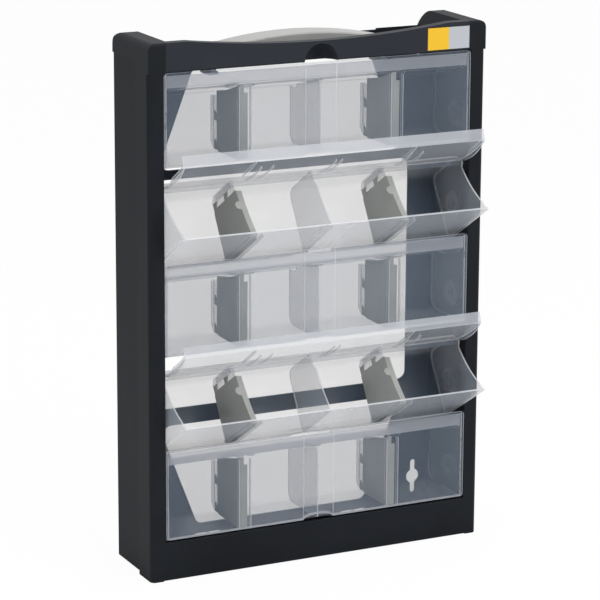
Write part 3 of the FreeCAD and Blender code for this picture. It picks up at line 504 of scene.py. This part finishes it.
@dataclass
class Skin:
    """Points and quads of one or more closed walls, with a number for each quad's material slot."""

    points: list[Points] = field(default_factory=list)
    quads: list[Points] = field(default_factory=list)
    slots: list[Points] = field(default_factory=list)
    count: int = 0

    def add(self, points: Points, quads: Points, slots: Points) -> None:
        """Adds a wall.

        Args:
            points: Points in millimetres, with X, Y and Z last.
            quads: Corner numbers, four per row.
            slots: A material slot per quad.
        """
        rows = points.reshape(-1, 3)
        self.points.append(rows)
        self.quads.append(quads + self.count)
        self.slots.append(slots)
        self.count += len(rows)

    def add_wall(
        self, face: Points, back: Points, rim_slot: int = EDGE_HIGHLIGHT_SLOT, face_slot: int = FACE_SLOT
    ) -> None:
        """Adds a wall between two grids of points: both faces, and a rim of quads all round.

        Args:
            face: One face, as a grid of points with shape (rows, columns, 3).
            back: The other face, with the same shape.
            rim_slot: The slot of the rim's quads.
            face_slot: The slot of both faces' quads.
        """
        rows, columns = face.shape[:2]
        number = np.arange(rows * columns).reshape(rows, columns)
        a, b = number[:-1, :-1].ravel(), number[:-1, 1:].ravel()
        c, d = number[1:, 1:].ravel(), number[1:, :-1].ravel()
        front = np.stack([a, b, c, d], 1)
        rear = front[:, ::-1] + rows * columns
        loop = np.concatenate([number[0, :-1], number[:-1, -1], number[-1, :0:-1], number[:0:-1, 0]])
        ahead = np.roll(loop, -1)
        rim = np.stack([loop, loop + rows * columns, ahead + rows * columns, ahead], 1)
        quads = np.concatenate([front, rear, rim])
        slots = np.concatenate([np.full(len(front) * 2, face_slot), np.full(len(rim), rim_slot)])
        self.add(np.concatenate([face.reshape(-1, 3), back.reshape(-1, 3)]), quads, slots)

    def add_tube(self, rings: Points) -> None:
        """Adds a closed bar through rings of points, with a row of quads across each end.

        Args:
            rings: Points with shape (rings, corners, 3).
        """
        count, corners = rings.shape[:2]
        number = np.arange(count * corners).reshape(count, corners)
        turned = np.roll(number, -1, axis=1)
        sides = np.stack([number[:-1], turned[:-1], turned[1:], number[1:]], -1).reshape(-1, 4)
        low = np.arange(corners // 2 - 1)
        first = np.stack([low, low + 1, corners - 2 - low, corners - 1 - low], 1)
        last = first[:, ::-1] + (count - 1) * corners
        quads = np.concatenate([sides, first[:, ::-1], last[:, ::-1]])
        self.add(rings, quads, np.full(len(quads), FACE_SLOT))

    def build(self, name: str, place: Place) -> bpy.types.Object:
        """Makes the object, with its faces pointing outwards and its place in its mesh.

        Args:
            name: The piece's name.
            place: Where the piece stands.

        Returns:
            The new object, in the scene.
        """
        points = place.apply(np.concatenate(self.points))
        quads = np.concatenate(self.quads)
        mesh = bpy.data.meshes.new(name)
        mesh.from_pydata(points.tolist(), [], quads.tolist())
        mesh.polygons.foreach_set("material_index", np.concatenate(self.slots).astype(np.int32))
        work = bmesh.new()
        work.from_mesh(mesh)
        bmesh.ops.remove_doubles(work, verts=work.verts, dist=WELD_METRES)
        bmesh.ops.dissolve_degenerate(work, edges=work.edges, dist=WELD_METRES)
        bmesh.ops.recalc_face_normals(work, faces=work.faces)
        work.to_mesh(mesh)
        work.free()
        mesh.validate()
        mesh.update()
        piece = bpy.data.objects.new(name, mesh)
        bpy.context.scene.collection.objects.link(piece)
        return piece


def sweep_x(outline: Points, stations: Points) -> Points:
    """Carries a profile along X.

    Args:
        outline: Y and Z of the profile, one point per row.
        stations: The X places.

    Returns:
        A grid of points, stations by profile points.
    """
    grid = np.zeros((len(stations), len(outline), 3))
    grid[..., 0] = stations[:, None]
    grid[..., 1:] = outline[None]
    return grid


def offset_outline(outline: Points, distance: float) -> Points:
    """Moves an open profile sideways to its left by a distance, square to its run at each point.

    Args:
        outline: Y and Z of the profile, one point per row.
        distance: How far, to the left of the way that the profile runs.

    Returns:
        The moved profile.
    """
    run = np.gradient(outline, axis=0)
    run /= np.linalg.norm(run, axis=1, keepdims=True)
    return outline + distance * np.stack([-run[:, 1], run[:, 0]], 1)


def lifted(outline: Points, rise: Points | float) -> Points:
    """Moves a profile up, by one height or by a height for each point."""
    return outline + np.stack([np.zeros(len(outline)), np.broadcast_to(rise, len(outline))], 1)


def bowed_line(start: tuple[float, float], end: tuple[float, float], bow: float, count: int) -> Points:
    """A shallow parabola between two points: the chord, plus the bow times 4 t (1 - t) square to it.

    Args:
        start: First point.
        end: Last point.
        bow: Height of the middle to the left of the chord.
        count: Number of points.

    Returns:
        The points, one per row.
    """
    t = np.linspace(0, 1, count)[:, None]
    first, last = np.array(start, float), np.array(end, float)
    run = last - first
    side = np.array([-run[1], run[0]]) / np.linalg.norm(run)
    return first + run * t + side * bow * 4 * t * (1 - t)


def arc_line(
    centre: tuple[float, float], radius: float, start_deg: float, end_deg: float, count: int
) -> Points:
    """Points on an arc: centre plus radius times cosine and sine of the angle.

    Args:
        centre: Middle of the arc.
        radius: Its radius.
        start_deg: First angle.
        end_deg: Last angle.
        count: Number of points.

    Returns:
        The points, one per row.
    """
    angle = np.radians(np.linspace(start_deg, end_deg, count))
    return np.stack([centre[0] + radius * np.cos(angle), centre[1] + radius * np.sin(angle)], 1)


def resample(outline: Points, count: int) -> Points:
    """Spreads points evenly along a polyline.

    Args:
        outline: The polyline's points.
        count: How many points to give.

    Returns:
        The new points.
    """
    length = np.concatenate([[0], np.cumsum(np.linalg.norm(np.diff(outline, axis=0), axis=1))])
    at = np.linspace(0, length[-1], count)
    return np.stack([np.interp(at, length, outline[:, i]) for i in range(outline.shape[1])], 1)


def upright_wall(skin: Skin, low: Points, high: Points, x: float, thickness: float, steps: int) -> None:
    """Adds a flat wall square to X, ruled between a lower and an upper line: low + (high - low) v.

    Args:
        skin: What the wall goes into.
        low: Y and Z of the lower line.
        high: Y and Z of the upper line, with as many points.
        x: X of one face.
        thickness: Distance to the other face, along X, with its sign.
        steps: Quads from the lower to the upper line.
    """
    v = np.linspace(0, 1, steps + 1)[:, None, None]
    plane = low[None] + (high - low)[None] * v
    face = np.concatenate([np.full(plane.shape[:2] + (1,), x), plane], 2)
    back = face.copy()
    back[..., 0] += thickness
    skin.add_wall(face, back)


def bar(
    radius: float, one_x: float, other_x: float, centre: tuple[float, float], corners: int = 28
) -> Points:
    """Rings of a round bar along X with a small bevel at each end.

    Args:
        radius: The bar's radius.
        one_x: One end.
        other_x: The other end.
        centre: Y and Z of its axis.
        corners: Points round it.

    Returns:
        Rings of points for Skin.add_tube.
    """
    bevel = min(BEVEL_MM, radius / 4)
    low_x, high_x = sorted((one_x, other_x))
    stations = np.array([low_x, low_x + bevel, high_x - bevel, high_x])
    radii = np.array([radius - bevel, radius, radius, radius - bevel])
    angle = np.linspace(0, 2 * math.pi, corners, endpoint=False)
    rings = np.zeros((len(stations), corners, 3))
    rings[..., 0] = stations[:, None]
    rings[..., 1] = centre[0] + radii[:, None] * np.cos(angle)
    rings[..., 2] = centre[1] + radii[:, None] * np.sin(angle)
    return rings


# Pieces of a row


@dataclass(frozen=True)
class RowSizes:
    """Sizes that the bin and the lid of a row share, in the closed place, in millimetres and degrees."""

    rows: int = 5
    open_rows: tuple[int, ...] = (2, 4)
    pitch: float = 104.7
    sill: float = 44.5
    open_tilt: float = 58.5
    lid_rise: float = 16.9025
    pivot: tuple[float, float] = (34.5, 27.7)
    pins: tuple[float, float] = (68.0, 70.2)
    bin_half: float = 184.5
    wall: float = 1.8
    plate_foot: float = 2.4
    plate_top: float = 104.3
    chin: float = 5.0
    depth: float = 78.0
    floor: float = 0.6
    heel: float = 12.0
    rear_height: float = 66.0
    horn_start: float = 2.0
    horn_depth: float = 11.0
    horn_drop: float = 8.1
    horn_bow: float = 0.4
    brow_bow: float = 3.9
    ear: float = 5.0
    ear_angles: tuple[float, float] = (140.0, -20.0)
    rear_inset: float = 0.4
    lid_front: float = 2.2
    lid_foot: float = 86.7
    lid_skin: float = 1.4
    lid_dish: float = 2.0
    lid_setback: float = 0.8
    barrel: float = 2.5
    heel_points: int = 9
    horn_points: int = 6
    brow_points: int = 24
    ear_points: int = 10
    lid_points: int = 40

    def place(self, row: int, flapped: bool = False) -> Place:
        """Gives the place of a bin, or of a lid, in a row.

        Args:
            row: The row, counted from the top.
            flapped: True for a lid.

        Returns:
            The place.
        """
        lift = self.sill + (self.rows - row) * self.pitch
        if row not in self.open_rows:
            return Place(self.pivot, self.pins, lift)
        flap = self.open_tilt + self.lid_rise if flapped else 0.0
        return Place(self.pivot, self.pins, lift, self.open_tilt, flap)

    def under_line(self, count: int) -> Points:
        """The outside of a bin's floor, heel and rear wall, from the plate's foot to the rear wall's top.

        Args:
            count: Number of points.

        Returns:
            The points, one per row.
        """
        centre = (self.depth - self.heel, self.floor + self.heel)
        heel = arc_line(centre, self.heel, -90, 0, self.heel_points)
        chin = [[self.wall, self.plate_foot], [self.chin, self.floor]]
        return resample(np.concatenate([chin, heel, [[self.depth, self.rear_height]]]), count)

    def brow_line(self, count: int) -> Points:
        """The top edge of a bin's end wall: the horn behind the plate, a hollow sweep, the ear and the rear.

        Args:
            count: Number of points.

        Returns:
            The points, one per row.
        """
        start = (self.wall, self.plate_top - self.horn_start)
        foot = (self.horn_depth, self.pitch - self.horn_drop)
        horn = bowed_line(start, foot, -self.horn_bow, self.horn_points)
        sweep = bowed_line(foot, self.pins, -self.brow_bow, self.brow_points)
        sweep = sweep[np.linalg.norm(sweep - np.array(self.pins), axis=1) > self.ear]
        ear = arc_line(self.pins, self.ear, *self.ear_angles, self.ear_points)
        line = np.concatenate([horn, sweep[1:], ear, [[self.depth - self.rear_inset, self.rear_height]]])
        return resample(line, count)

    def lid_line(self, start: float, count: int) -> Points:
        """The upper face of a lid's dished skin, from a depth behind the strip to the pins.

        Args:
            start: How far back the line starts.
            count: Number of points.

        Returns:
            The points, one per row.
        """
        front = (self.lid_front, self.lid_foot + self.lid_skin)
        rear = (self.pins[0], self.pins[1] + self.barrel)
        line = bowed_line(front, rear, -self.lid_dish, self.lid_points)
        return resample(line[line[:, 0] >= start], count)


@dataclass
class ClearBin:
    """A clear tilting bin: plate, tub, ends, middle web, divider guides, pivot rings and studs.

    Its own sizes are in millimetres. A side is an X place beside a divider, and a share has no unit.
    """

    sizes: RowSizes
    row: int
    plate_half: float = 186.0
    plate_corner: float = 4.0
    corner_cut_share: float = 0.98
    fine_half: float = 22.0
    coarse_from: float = 30.0
    coarse_to: float = 178.0
    tab_height_share: float = 0.972
    tab_half: float = 14.0
    band_half: float = 18.5
    band_depth: float = 0.5
    band_slope: float = 1.0
    ledge_half: float = 0.6
    arch_half: float = 18.5
    arch_height: float = 4.6
    arch_side: float = 1.5
    arch_depth: float = 6.0
    web: float = 1.6
    web_sink_share: float = 0.6
    web_front: float = 1.0
    web_gap: float = 0.9
    web_shoulder: float = 60.0
    web_step: float = 62.0
    web_rear: tuple[float, float] = (1.2, 0.5)
    divider_places: tuple[float, float] = (-97.05, 88.0)
    guide_wall: float = 1.1
    guide_slope: float = 0.6
    guide_foot: float = 1.5
    rear_guide_sides: tuple[float, float] = (-1.3, 1.8)
    rear_guide_fronts: tuple[float, float] = (68.1, 62.6)
    rear_guide_heel: tuple[float, float] = (75.8, 12.0)
    rear_guide_top: float = 63.0
    front_guide_sides: tuple[float, float] = (-1.3, 13.1)
    front_guide_foot: tuple[float, float] = (1.4, 2.6)
    front_guide_depth: float = 6.0
    front_guide_drop: float = 21.5
    ring_radii: tuple[float, float] = (11.3, 12.5)
    ring_rise: float = 0.6
    ring_sink: float = 0.4
    ring_points: int = 49
    stud: float = 6.0
    stud_root: float = 0.9
    stud_end: float = 189.4
    corner_points: int = 6
    fine_points: int = 34
    coarse_points: int = 20
    plate_rows: int = 13
    tub_points: int = 40
    arch_stations: int = 25
    side_stations: int = 20
    end_points: int = 52
    end_steps: int = 10
    web_points: int = 30
    web_top_points: int = 20
    web_steps: int = 8
    rear_guide_points: int = 5
    front_guide_points: int = 3
    guide_steps: int = 6
    skin: Skin = field(default_factory=Skin)

    def arch(self, x: Points) -> Points:
        """Height of the thumb arch over the plate's foot: h sqrt(1 - (x / a)^2), and zero beside it."""
        return self.arch_height * np.sqrt(np.clip(1 - (x / self.arch_half) ** 2, 0, 1))

    def plate(self) -> None:
        """Adds the front plate, on a grid of x and v: z = low + (high - low) v, and y steps at the band.

        The low line has the thumb arch in it, and both lines have rounded corners.
        """
        s = self.sizes
        turn = np.linspace(0, math.pi / 2, self.corner_points)
        corner = self.plate_half - self.plate_corner * (1 - np.sin(turn))
        fine = np.linspace(0, self.fine_half, self.fine_points)
        coarse = np.linspace(self.coarse_from, self.coarse_to, self.coarse_points)
        inner = np.concatenate([fine, coarse, corner[1:]])
        x = np.concatenate([-inner[:0:-1], inner])
        reach = np.clip(np.abs(x) - (self.plate_half - self.plate_corner), 0, self.plate_corner)
        cut = self.plate_corner - np.sqrt(self.plate_corner**2 - reach**2)
        low = s.plate_foot + cut * self.corner_cut_share + self.arch(x)
        high = s.plate_top - cut * self.corner_cut_share
        v = np.append(np.linspace(0, self.tab_height_share, self.plate_rows), 1.0)[:, None]
        z = low[None] + (high - low)[None] * v
        step = np.clip((self.band_half + self.band_slope / 2 - np.abs(x)) / self.band_slope, 0, 1)
        y = np.broadcast_to(self.band_depth * step, z.shape)
        face = np.stack([np.broadcast_to(x, z.shape), y, z], -1)
        back = face.copy()
        back[..., 1] = s.wall
        self.skin.add_wall(face, back)
        # The band's two edges get a faint painted highlight from the frosted finish, and the tab in the
        # middle of the top edge gets a bright painted highlight from the edge finish.
        middle = np.abs(x[:-1] + x[1:]) / 2
        ledge_highlight = np.tile(np.abs(middle - self.band_half) < self.ledge_half, len(v) - 1)
        tab_highlight = np.zeros(len(ledge_highlight), bool)
        tab_highlight[-len(middle) :] = middle < self.tab_half
        front_slots = self.skin.slots[-1][: len(ledge_highlight)]
        front_slots[ledge_highlight] = FROSTED_HIGHLIGHT_SLOT
        front_slots[tab_highlight] = EDGE_HIGHLIGHT_SLOT

    def tub(self) -> None:
        """Adds floor, heel and rear wall as one profile carried along X, and the two end walls."""
        s = self.sizes
        outside = s.under_line(self.tub_points)
        inside = offset_outline(outside, s.wall)
        far = np.linspace(self.arch_half + self.arch_side, s.bin_half, self.side_stations)
        near = np.linspace(-self.arch_half, self.arch_half, self.arch_stations)
        stations = np.concatenate([-far[::-1], near, far])
        faces = [sweep_x(line, stations) for line in (outside, inside)]
        for face, lift in zip(faces, (0.0, s.wall)):
            crown = (s.plate_foot + self.arch(stations) + lift)[:, None]
            raised = np.maximum(face[..., 2], crown)
            over_arch = (face[..., 1] < self.arch_depth) & (np.abs(face[..., 0]) < self.arch_half)
            face[..., 2] = np.where(over_arch, raised, face[..., 2])
        self.skin.add_wall(faces[0], faces[1])
        low, high = s.under_line(self.end_points), s.brow_line(self.end_points)
        for side in (-1, 1):
            upright_wall(self.skin, low, high, side * s.bin_half, -side * s.wall, self.end_steps)

    def middle_web(self) -> None:
        """Adds the fixed middle web, whose top stays below the lid's skin."""
        s = self.sizes
        low = offset_outline(s.under_line(self.web_points), s.wall * self.web_sink_share)
        top = lifted(s.lid_line(s.wall + self.web_front, self.web_top_points), -(s.lid_skin + self.web_gap))
        in_from_rear, down = self.web_rear
        rear = [[self.web_step, s.rear_height], [s.depth - in_from_rear, s.rear_height - down]]
        high = resample(np.concatenate([top[top[:, 0] < self.web_shoulder], rear]), self.web_points)
        upright_wall(self.skin, low, high, -self.web / 2, self.web, self.web_steps)

    def guide(self, low: list[tuple[float, float]], top: float, x: float, count: int) -> None:
        """Adds a thin upright rib from a line along the floor up to a level top.

        Args:
            low: Y and Z of the two ends of its foot.
            top: Z of its top.
            x: X of one face.
            count: Points along its foot.
        """
        foot = np.array(low)
        head = np.array([[y, top] for y, _ in low])
        low_line, high_line = resample(foot, count), resample(head, count)
        upright_wall(self.skin, low_line, high_line, x, self.guide_wall, self.guide_steps)

    def guides(self) -> None:
        """Adds the thin ribs that hold the dividers, at the rear wall and behind the plate."""
        for place in self.divider_places:
            for side, near in zip(self.rear_guide_sides, self.rear_guide_fronts):
                foot = self.guide_foot + (near - self.rear_guide_fronts[1]) * self.guide_slope
                low = [(near, foot), self.rear_guide_heel]
                self.guide(low, self.rear_guide_top, place + side, self.rear_guide_points)
            for side in self.front_guide_sides:
                low = [self.front_guide_foot, (self.front_guide_depth, self.guide_foot)]
                top = self.sizes.pitch - self.front_guide_drop
                self.guide(low, top, place + side, self.front_guide_points)

    def pivots(self) -> None:
        """Adds a raised ring inside each end wall and a stud outside it."""
        s = self.sizes
        angle = np.linspace(0, 2 * math.pi, self.ring_points)
        radius = np.array(self.ring_radii)[:, None]
        for side in (-1, 1):
            inner_x = side * (s.bin_half - s.wall)
            face = np.zeros((len(radius), len(angle), 3))
            face[..., 0] = inner_x - side * self.ring_rise
            face[..., 1] = s.pivot[0] + radius * np.cos(angle)
            face[..., 2] = s.pivot[1] + radius * np.sin(angle)
            back = face.copy()
            back[..., 0] = inner_x + side * self.ring_sink
            self.skin.add_wall(face, back, rim_slot=FACE_SLOT)
            root_x = side * (s.bin_half - self.stud_root)
            self.skin.add_tube(bar(self.stud, root_x, side * self.stud_end, s.pivot))

    def build(self, dresser: Dresser) -> bpy.types.Object:
        """Builds the bin and dresses it.

        Args:
            dresser: What gives the finishes.

        Returns:
            The bin.
        """
        for part in (self.plate, self.tub, self.middle_web, self.guides, self.pivots):
            part()
        piece = self.skin.build(f"clear_bin_{self.row}", self.sizes.place(self.row))
        dresser.dress(piece, Finish.CLEAR, Finish.EDGE_PAINTED_HIGHLIGHT, Finish.FROSTED_WITH_PAINTED_HIGHLIGHT)
        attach(piece, f"bin_{self.row}")
        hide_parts(f"bin_{self.row}")
        return piece


@dataclass
class ClearLid:
    """A clear flap lid: front strip, dished skin, raised ends and ribs, and a barrel with pins.

    Thin flanges and keels hang under the skin. Its own sizes are in millimetres, and a share has no unit.
    """

    sizes: RowSizes
    row: int
    half: float = 182.2
    strip_top: float = 101.1
    strip_wall: float = 1.1
    bite: float = 0.3
    flange_wall: float = 1.1
    flange_least: float = 0.9
    flange_drop: float = 4.2
    flange_skew: float = 0.25
    flange_rear: float = 1.0
    keels: tuple[float, ...] = (-87.0, -73.0, 3.0, 10.0, 96.0, 110.0)
    keel_wall: float = 1.0
    keel_span: tuple[float, float] = (13.0, 60.0)
    keel_rise_share: float = 0.4
    rib_end: float = 44.0
    rib_fade: float = 5.0
    rib_least_share: float = 0.1
    rib_bite: float = 0.4
    end_rise: float = 4.0
    end_wall: float = 1.2
    rib_place: float = 97.5
    rib_rise: float = 3.0
    rib_wall: float = 1.0
    pin: float = 1.6
    pin_root: float = 1.0
    pin_gap: float = 0.2
    strip_points: int = 6
    skin_points: int = 24
    stations: int = 41
    rib_points: int = 20
    wall_steps: int = 3
    skin: Skin = field(default_factory=Skin)

    def top_line(self, count: int) -> Points:
        """The skin's upper face, from just behind the strip to the pins."""
        return self.sizes.lid_line(self.sizes.lid_front + self.sizes.lid_setback, count)

    def cover(self) -> None:
        """Adds the strip and the skin as one profile carried along X."""
        s = self.sizes
        strip_z = np.linspace(self.strip_top, s.lid_foot + s.lid_skin, self.strip_points)
        strip = np.stack([np.full(len(strip_z), s.lid_front), strip_z], 1)
        top = np.concatenate([strip, self.top_line(self.skin_points)])
        under = offset_outline(top, self.strip_wall)
        stations = np.linspace(-self.half, self.half, self.stations)
        # The strip takes the frosted finish, whose paler colour is partly a painted highlight.
        for run, slot in ((slice(None, len(strip)), FROSTED_HIGHLIGHT_SLOT), (slice(len(strip) - 1, None), FACE_SLOT)):
            face, back = sweep_x(top[run], stations), sweep_x(under[run], stations)
            self.skin.add_wall(face, back, face_slot=slot)

    def flanges(self) -> None:
        """Adds the thin flange under each end of the skin, bowed downwards, and the keels between them.

        With u from 0 at the front to 1 at the rear, the edge lies a + 4 b u (1 - u) (1 - c u) below the skin.
        """
        base = self.top_line(self.skin_points)
        base = base[base[:, 0] < self.sizes.pins[0] - self.flange_rear]
        share = (base[:, 0] - base[0, 0]) / (base[-1, 0] - base[0, 0])
        bow = 4 * share * (1 - share) * (1 - self.flange_skew * share)
        drop = self.flange_least + self.flange_drop * bow
        low, high = lifted(base, -drop), lifted(base, -self.bite)
        for side in (-1, 1):
            upright_wall(self.skin, low, high, side * self.half, -side * self.flange_wall, self.wall_steps)
        inner = (base[:, 0] > self.keel_span[0]) & (base[:, 0] < self.keel_span[1])
        keel = lifted(low[inner], drop[inner] * self.keel_rise_share)
        for x in self.keels:
            upright_wall(self.skin, keel, high[inner], x, self.keel_wall, self.wall_steps)

    def ribs(self) -> None:
        """Adds the raised end walls and the two ribs, which stand square on the skin."""
        base = self.top_line(self.rib_points)
        base = base[base[:, 0] < self.rib_end]
        fade = np.clip((self.rib_end - base[:, 0]) / self.rib_fade, self.rib_least_share, 1)
        ends = (self.half, self.end_rise, self.end_wall)
        for x, rise, wall in (ends, (self.rib_place, self.rib_rise, self.rib_wall)):
            for side in (-1, 1):
                low, high = lifted(base, -self.rib_bite), lifted(base, rise * fade)
                upright_wall(self.skin, low, high, side * x, -side * wall, self.wall_steps)

    def barrel(self) -> None:
        """Adds the round barrel at the rear edge with a pin at each end."""
        s = self.sizes
        self.skin.add_tube(bar(s.barrel, -self.half, self.half, s.pins))
        for side in (-1, 1):
            ends = (side * (self.half - self.pin_root), side * (s.bin_half - self.pin_gap))
            self.skin.add_tube(bar(self.pin, *ends, s.pins))

    def build(self, dresser: Dresser) -> bpy.types.Object:
        """Builds the lid and dresses it.

        Args:
            dresser: What gives the finishes.

        Returns:
            The lid.
        """
        for part in (self.cover, self.flanges, self.ribs, self.barrel):
            part()
        piece = self.skin.build(f"clear_lid_{self.row}", self.sizes.place(self.row, flapped=True))
        dresser.dress(piece, Finish.CLEAR, Finish.EDGE_PAINTED_HIGHLIGHT, Finish.FROSTED_WITH_PAINTED_HIGHLIGHT)
        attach(piece, f"lid_{self.row}")
        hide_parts(f"lid_{self.row}")
        return piece


# Housing


@dataclass(frozen=True)
class Housing:
    """The nodes that keep their own shapes, by the start of their names, with the finish of each."""

    finishes: tuple[tuple[str, Finish], ...] = (
        ("frame_stile", Finish.FRAME),
        ("corner_cap", Finish.FRAME),
        ("sill", Finish.FRAME),
        # The top rail takes the frame's ABS painted lighter, as if lit from above.
        ("top_rail", Finish.RAIL_PAINTED_LIGHTER),
        ("side_shell", Finish.SHELL),
        ("top_tray", Finish.SHELL),
        # The inside panels take the ABS painted bluer, for light that has passed the clear bins.
        ("base_panel", Finish.INSIDE_PAINTED_BLUE),
        ("back_panel", Finish.INSIDE_PAINTED_BLUE),
        ("pivot_bearings", Finish.BEARING),
        ("carry_handle", Finish.HANDLE),
        ("frame_screws", Finish.STEEL),
        ("label_plate", Finish.LABEL),
        ("divider", Finish.DIVIDER),
    )

    def dress(self, nodes: dict[str, bpy.types.Object], dresser: Dresser) -> None:
        """Gives every such node its finish.

        Args:
            nodes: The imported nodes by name.
            dresser: What gives the finishes.
        """
        for name, node in nodes.items():
            for start, finish in self.finishes:
                if name.startswith(start):
                    dresser.dress(node, finish)


# Studio


@dataclass(frozen=True)
class Lamp:
    """A square soft lamp, in metres and watts."""

    name: str
    at: tuple[float, float, float]
    aim: tuple[float, float, float]
    side: float
    watts: float

    def hang(self) -> None:
        """Adds the lamp, with its -Z turned from where it stands to what it points at."""
        data = bpy.data.lights.new(self.name, "AREA")
        data.shape, data.size, data.energy = "SQUARE", self.side, self.watts
        lamp = bpy.data.objects.new(self.name, data)
        bpy.context.scene.collection.objects.link(lamp)
        lamp.location = self.at
        x, y, z = np.array(self.aim) - np.array(self.at)
        lamp.rotation_euler = (math.atan2(math.hypot(x, y), -z), 0.0, math.atan2(x, -y) + math.pi)


@dataclass(frozen=True)
class PhotoCamera:
    """The camera at the photograph's angle: turns in radians, the eye in metres, and a square picture."""

    yaw: float = 0.4572
    pitch: float = 0.2386
    roll: float = 0.0052
    eye: tuple[float, float, float] = (-1.3850, -2.8138, 1.0937)
    focal_pixels: float = 2881.3
    picture_pixels: float = 600.0
    sensor_mm: float = 36.0
    shift_y: float = -0.06
    clip_end: float = 60.0

    def stand(self) -> None:
        """Adds the camera and makes it the scene's own."""
        data = bpy.data.cameras.new("camera")
        data.sensor_width = self.sensor_mm
        data.lens = self.focal_pixels / self.picture_pixels * self.sensor_mm
        data.shift_y = self.shift_y
        data.clip_end = self.clip_end
        camera = bpy.data.objects.new("camera", data)
        bpy.context.scene.collection.objects.link(camera)
        level = math.cos(self.pitch)
        ahead = np.array([math.sin(self.yaw) * level, math.cos(self.yaw) * level, -math.sin(self.pitch)])
        right = np.array([math.cos(self.yaw), -math.sin(self.yaw), 0.0])
        up = np.cross(right, ahead)
        across = right * math.cos(self.roll) + up * math.sin(self.roll)
        above = -right * math.sin(self.roll) + up * math.cos(self.roll)
        turn = Matrix([[across[i], above[i], -ahead[i]] for i in range(3)]).to_4x4()
        turn.translation = self.eye
        camera.matrix_world = turn
        bpy.context.scene.camera = camera


@dataclass(frozen=True)
class Studio:
    """A white floor in white surroundings, soft lamps and the camera."""

    floor_colour: str = "#f4f4f4"
    floor_half: float = 9.0
    floor_drop: float = 0.0003
    white_share: float = 0.96
    world_level: float = 0.64
    clear_walls: int = 48
    camera: PhotoCamera = PhotoCamera()
    lamps: tuple[Lamp, ...] = (
        Lamp("key_lamp", (0.7, -1.9, 2.0), (0.0, 0.0, 0.4), 1.4, 34.0),
        Lamp("fill_lamp", (-2.2, -1.2, 0.9), (0.0, 0.0, 0.3), 1.6, 9.0),
        Lamp("top_lamp", (0.0, 0.2, 2.2), (0.0, 0.0, 0.5), 1.2, 12.0),
    )

    def white_mix(self, tree: bpy.types.NodeTree, *others: str) -> bpy.types.NodeSocket:
        """One where the eye looks, or a ray of another kind, and zero for the light that falls on things.

        Args:
            tree: The tree that the nodes go into.
            others: The other kinds of ray that see white.

        Returns:
            The socket that gives one or zero.
        """
        path = add_node(tree, "ShaderNodeLightPath")
        seen = path.outputs["Is Camera Ray"]
        for kind in others:
            links = {0: seen, 1: path.outputs[kind]}
            seen = add_node(tree, "ShaderNodeMath", {"operation": "MAXIMUM"}, links=links).outputs[0]
        return seen

    def floor(self) -> None:
        """Makes the floor, which looks white and keeps a faint shadow."""
        far = self.floor_half
        mesh = bpy.data.meshes.new("studio_floor")
        mesh.from_pydata([(-far, -far, 0), (far, -far, 0), (far, far, 0), (-far, far, 0)], [], [(0, 1, 2, 3)])
        floor = bpy.data.objects.new("studio_floor", mesh)
        floor.location.z = -self.floor_drop
        bpy.context.scene.collection.objects.link(floor)
        material, tree = empty_material("matt white studio paper")
        paper = add_node(tree, "ShaderNodeBsdfDiffuse", values={"Color": linear(self.floor_colour)})
        glow = add_node(tree, "ShaderNodeEmission", values={"Color": (1, 1, 1, 1), "Strength": 1.0})
        share = add_node(
            tree,
            "ShaderNodeMath",
            settings={"operation": "MULTIPLY"},
            values={1: self.white_share},
            links={0: self.white_mix(tree, "Is Transmission Ray")},
        )
        mixed = add_node(
            tree,
            "ShaderNodeMixShader",
            links={0: share.outputs[0], 1: paper.outputs[0], 2: glow.outputs[0]},
        )
        finish_material(tree, mixed.outputs[0])
        mesh.materials.append(material)

    def world(self) -> None:
        """Makes the white surroundings."""
        world = bpy.data.worlds.new("studio_world")
        world.use_nodes = True
        tree = world.node_tree
        tree.nodes.clear()
        level = add_node(
            tree,
            "ShaderNodeMapRange",
            values={"To Min": self.world_level, "To Max": 1.0},
            links={"Value": self.white_mix(tree, "Is Glossy Ray", "Is Transmission Ray")},
        )
        sky = add_node(
            tree,
            "ShaderNodeBackground",
            values={"Color": (1, 1, 1, 1)},
            links={"Strength": level.outputs[0]},
        )
        add_node(tree, "ShaderNodeOutputWorld", links={"Surface": sky.outputs[0]})
        bpy.context.scene.world = world

    def build(self) -> None:
        """Makes the whole studio."""
        scene = bpy.context.scene
        scene.view_settings.view_transform = "Standard"
        # A look through all five rows crosses many clear walls.
        scene.cycles.transparent_max_bounces = self.clear_walls
        self.floor()
        self.world()
        for lamp in self.lamps:
            lamp.hang()
        self.camera.stand()


def main() -> None:
    """Builds the cabinet and the studio in order, and reports each piece."""
    logging.basicConfig(level=logging.INFO, format="%(name)s: %(message)s")
    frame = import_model()
    dresser = Dresser()
    sizes = RowSizes()
    Housing().dress(frame["nodes"], dresser)
    for row in range(1, sizes.rows + 1):
        for piece in (ClearBin(sizes, row).build(dresser), ClearLid(sizes, row).build(dresser)):
            LOG.info("%s: %d faces", piece.name, len(piece.data.polygons))
    Studio().build()


if __name__ == "__main__":
    main()
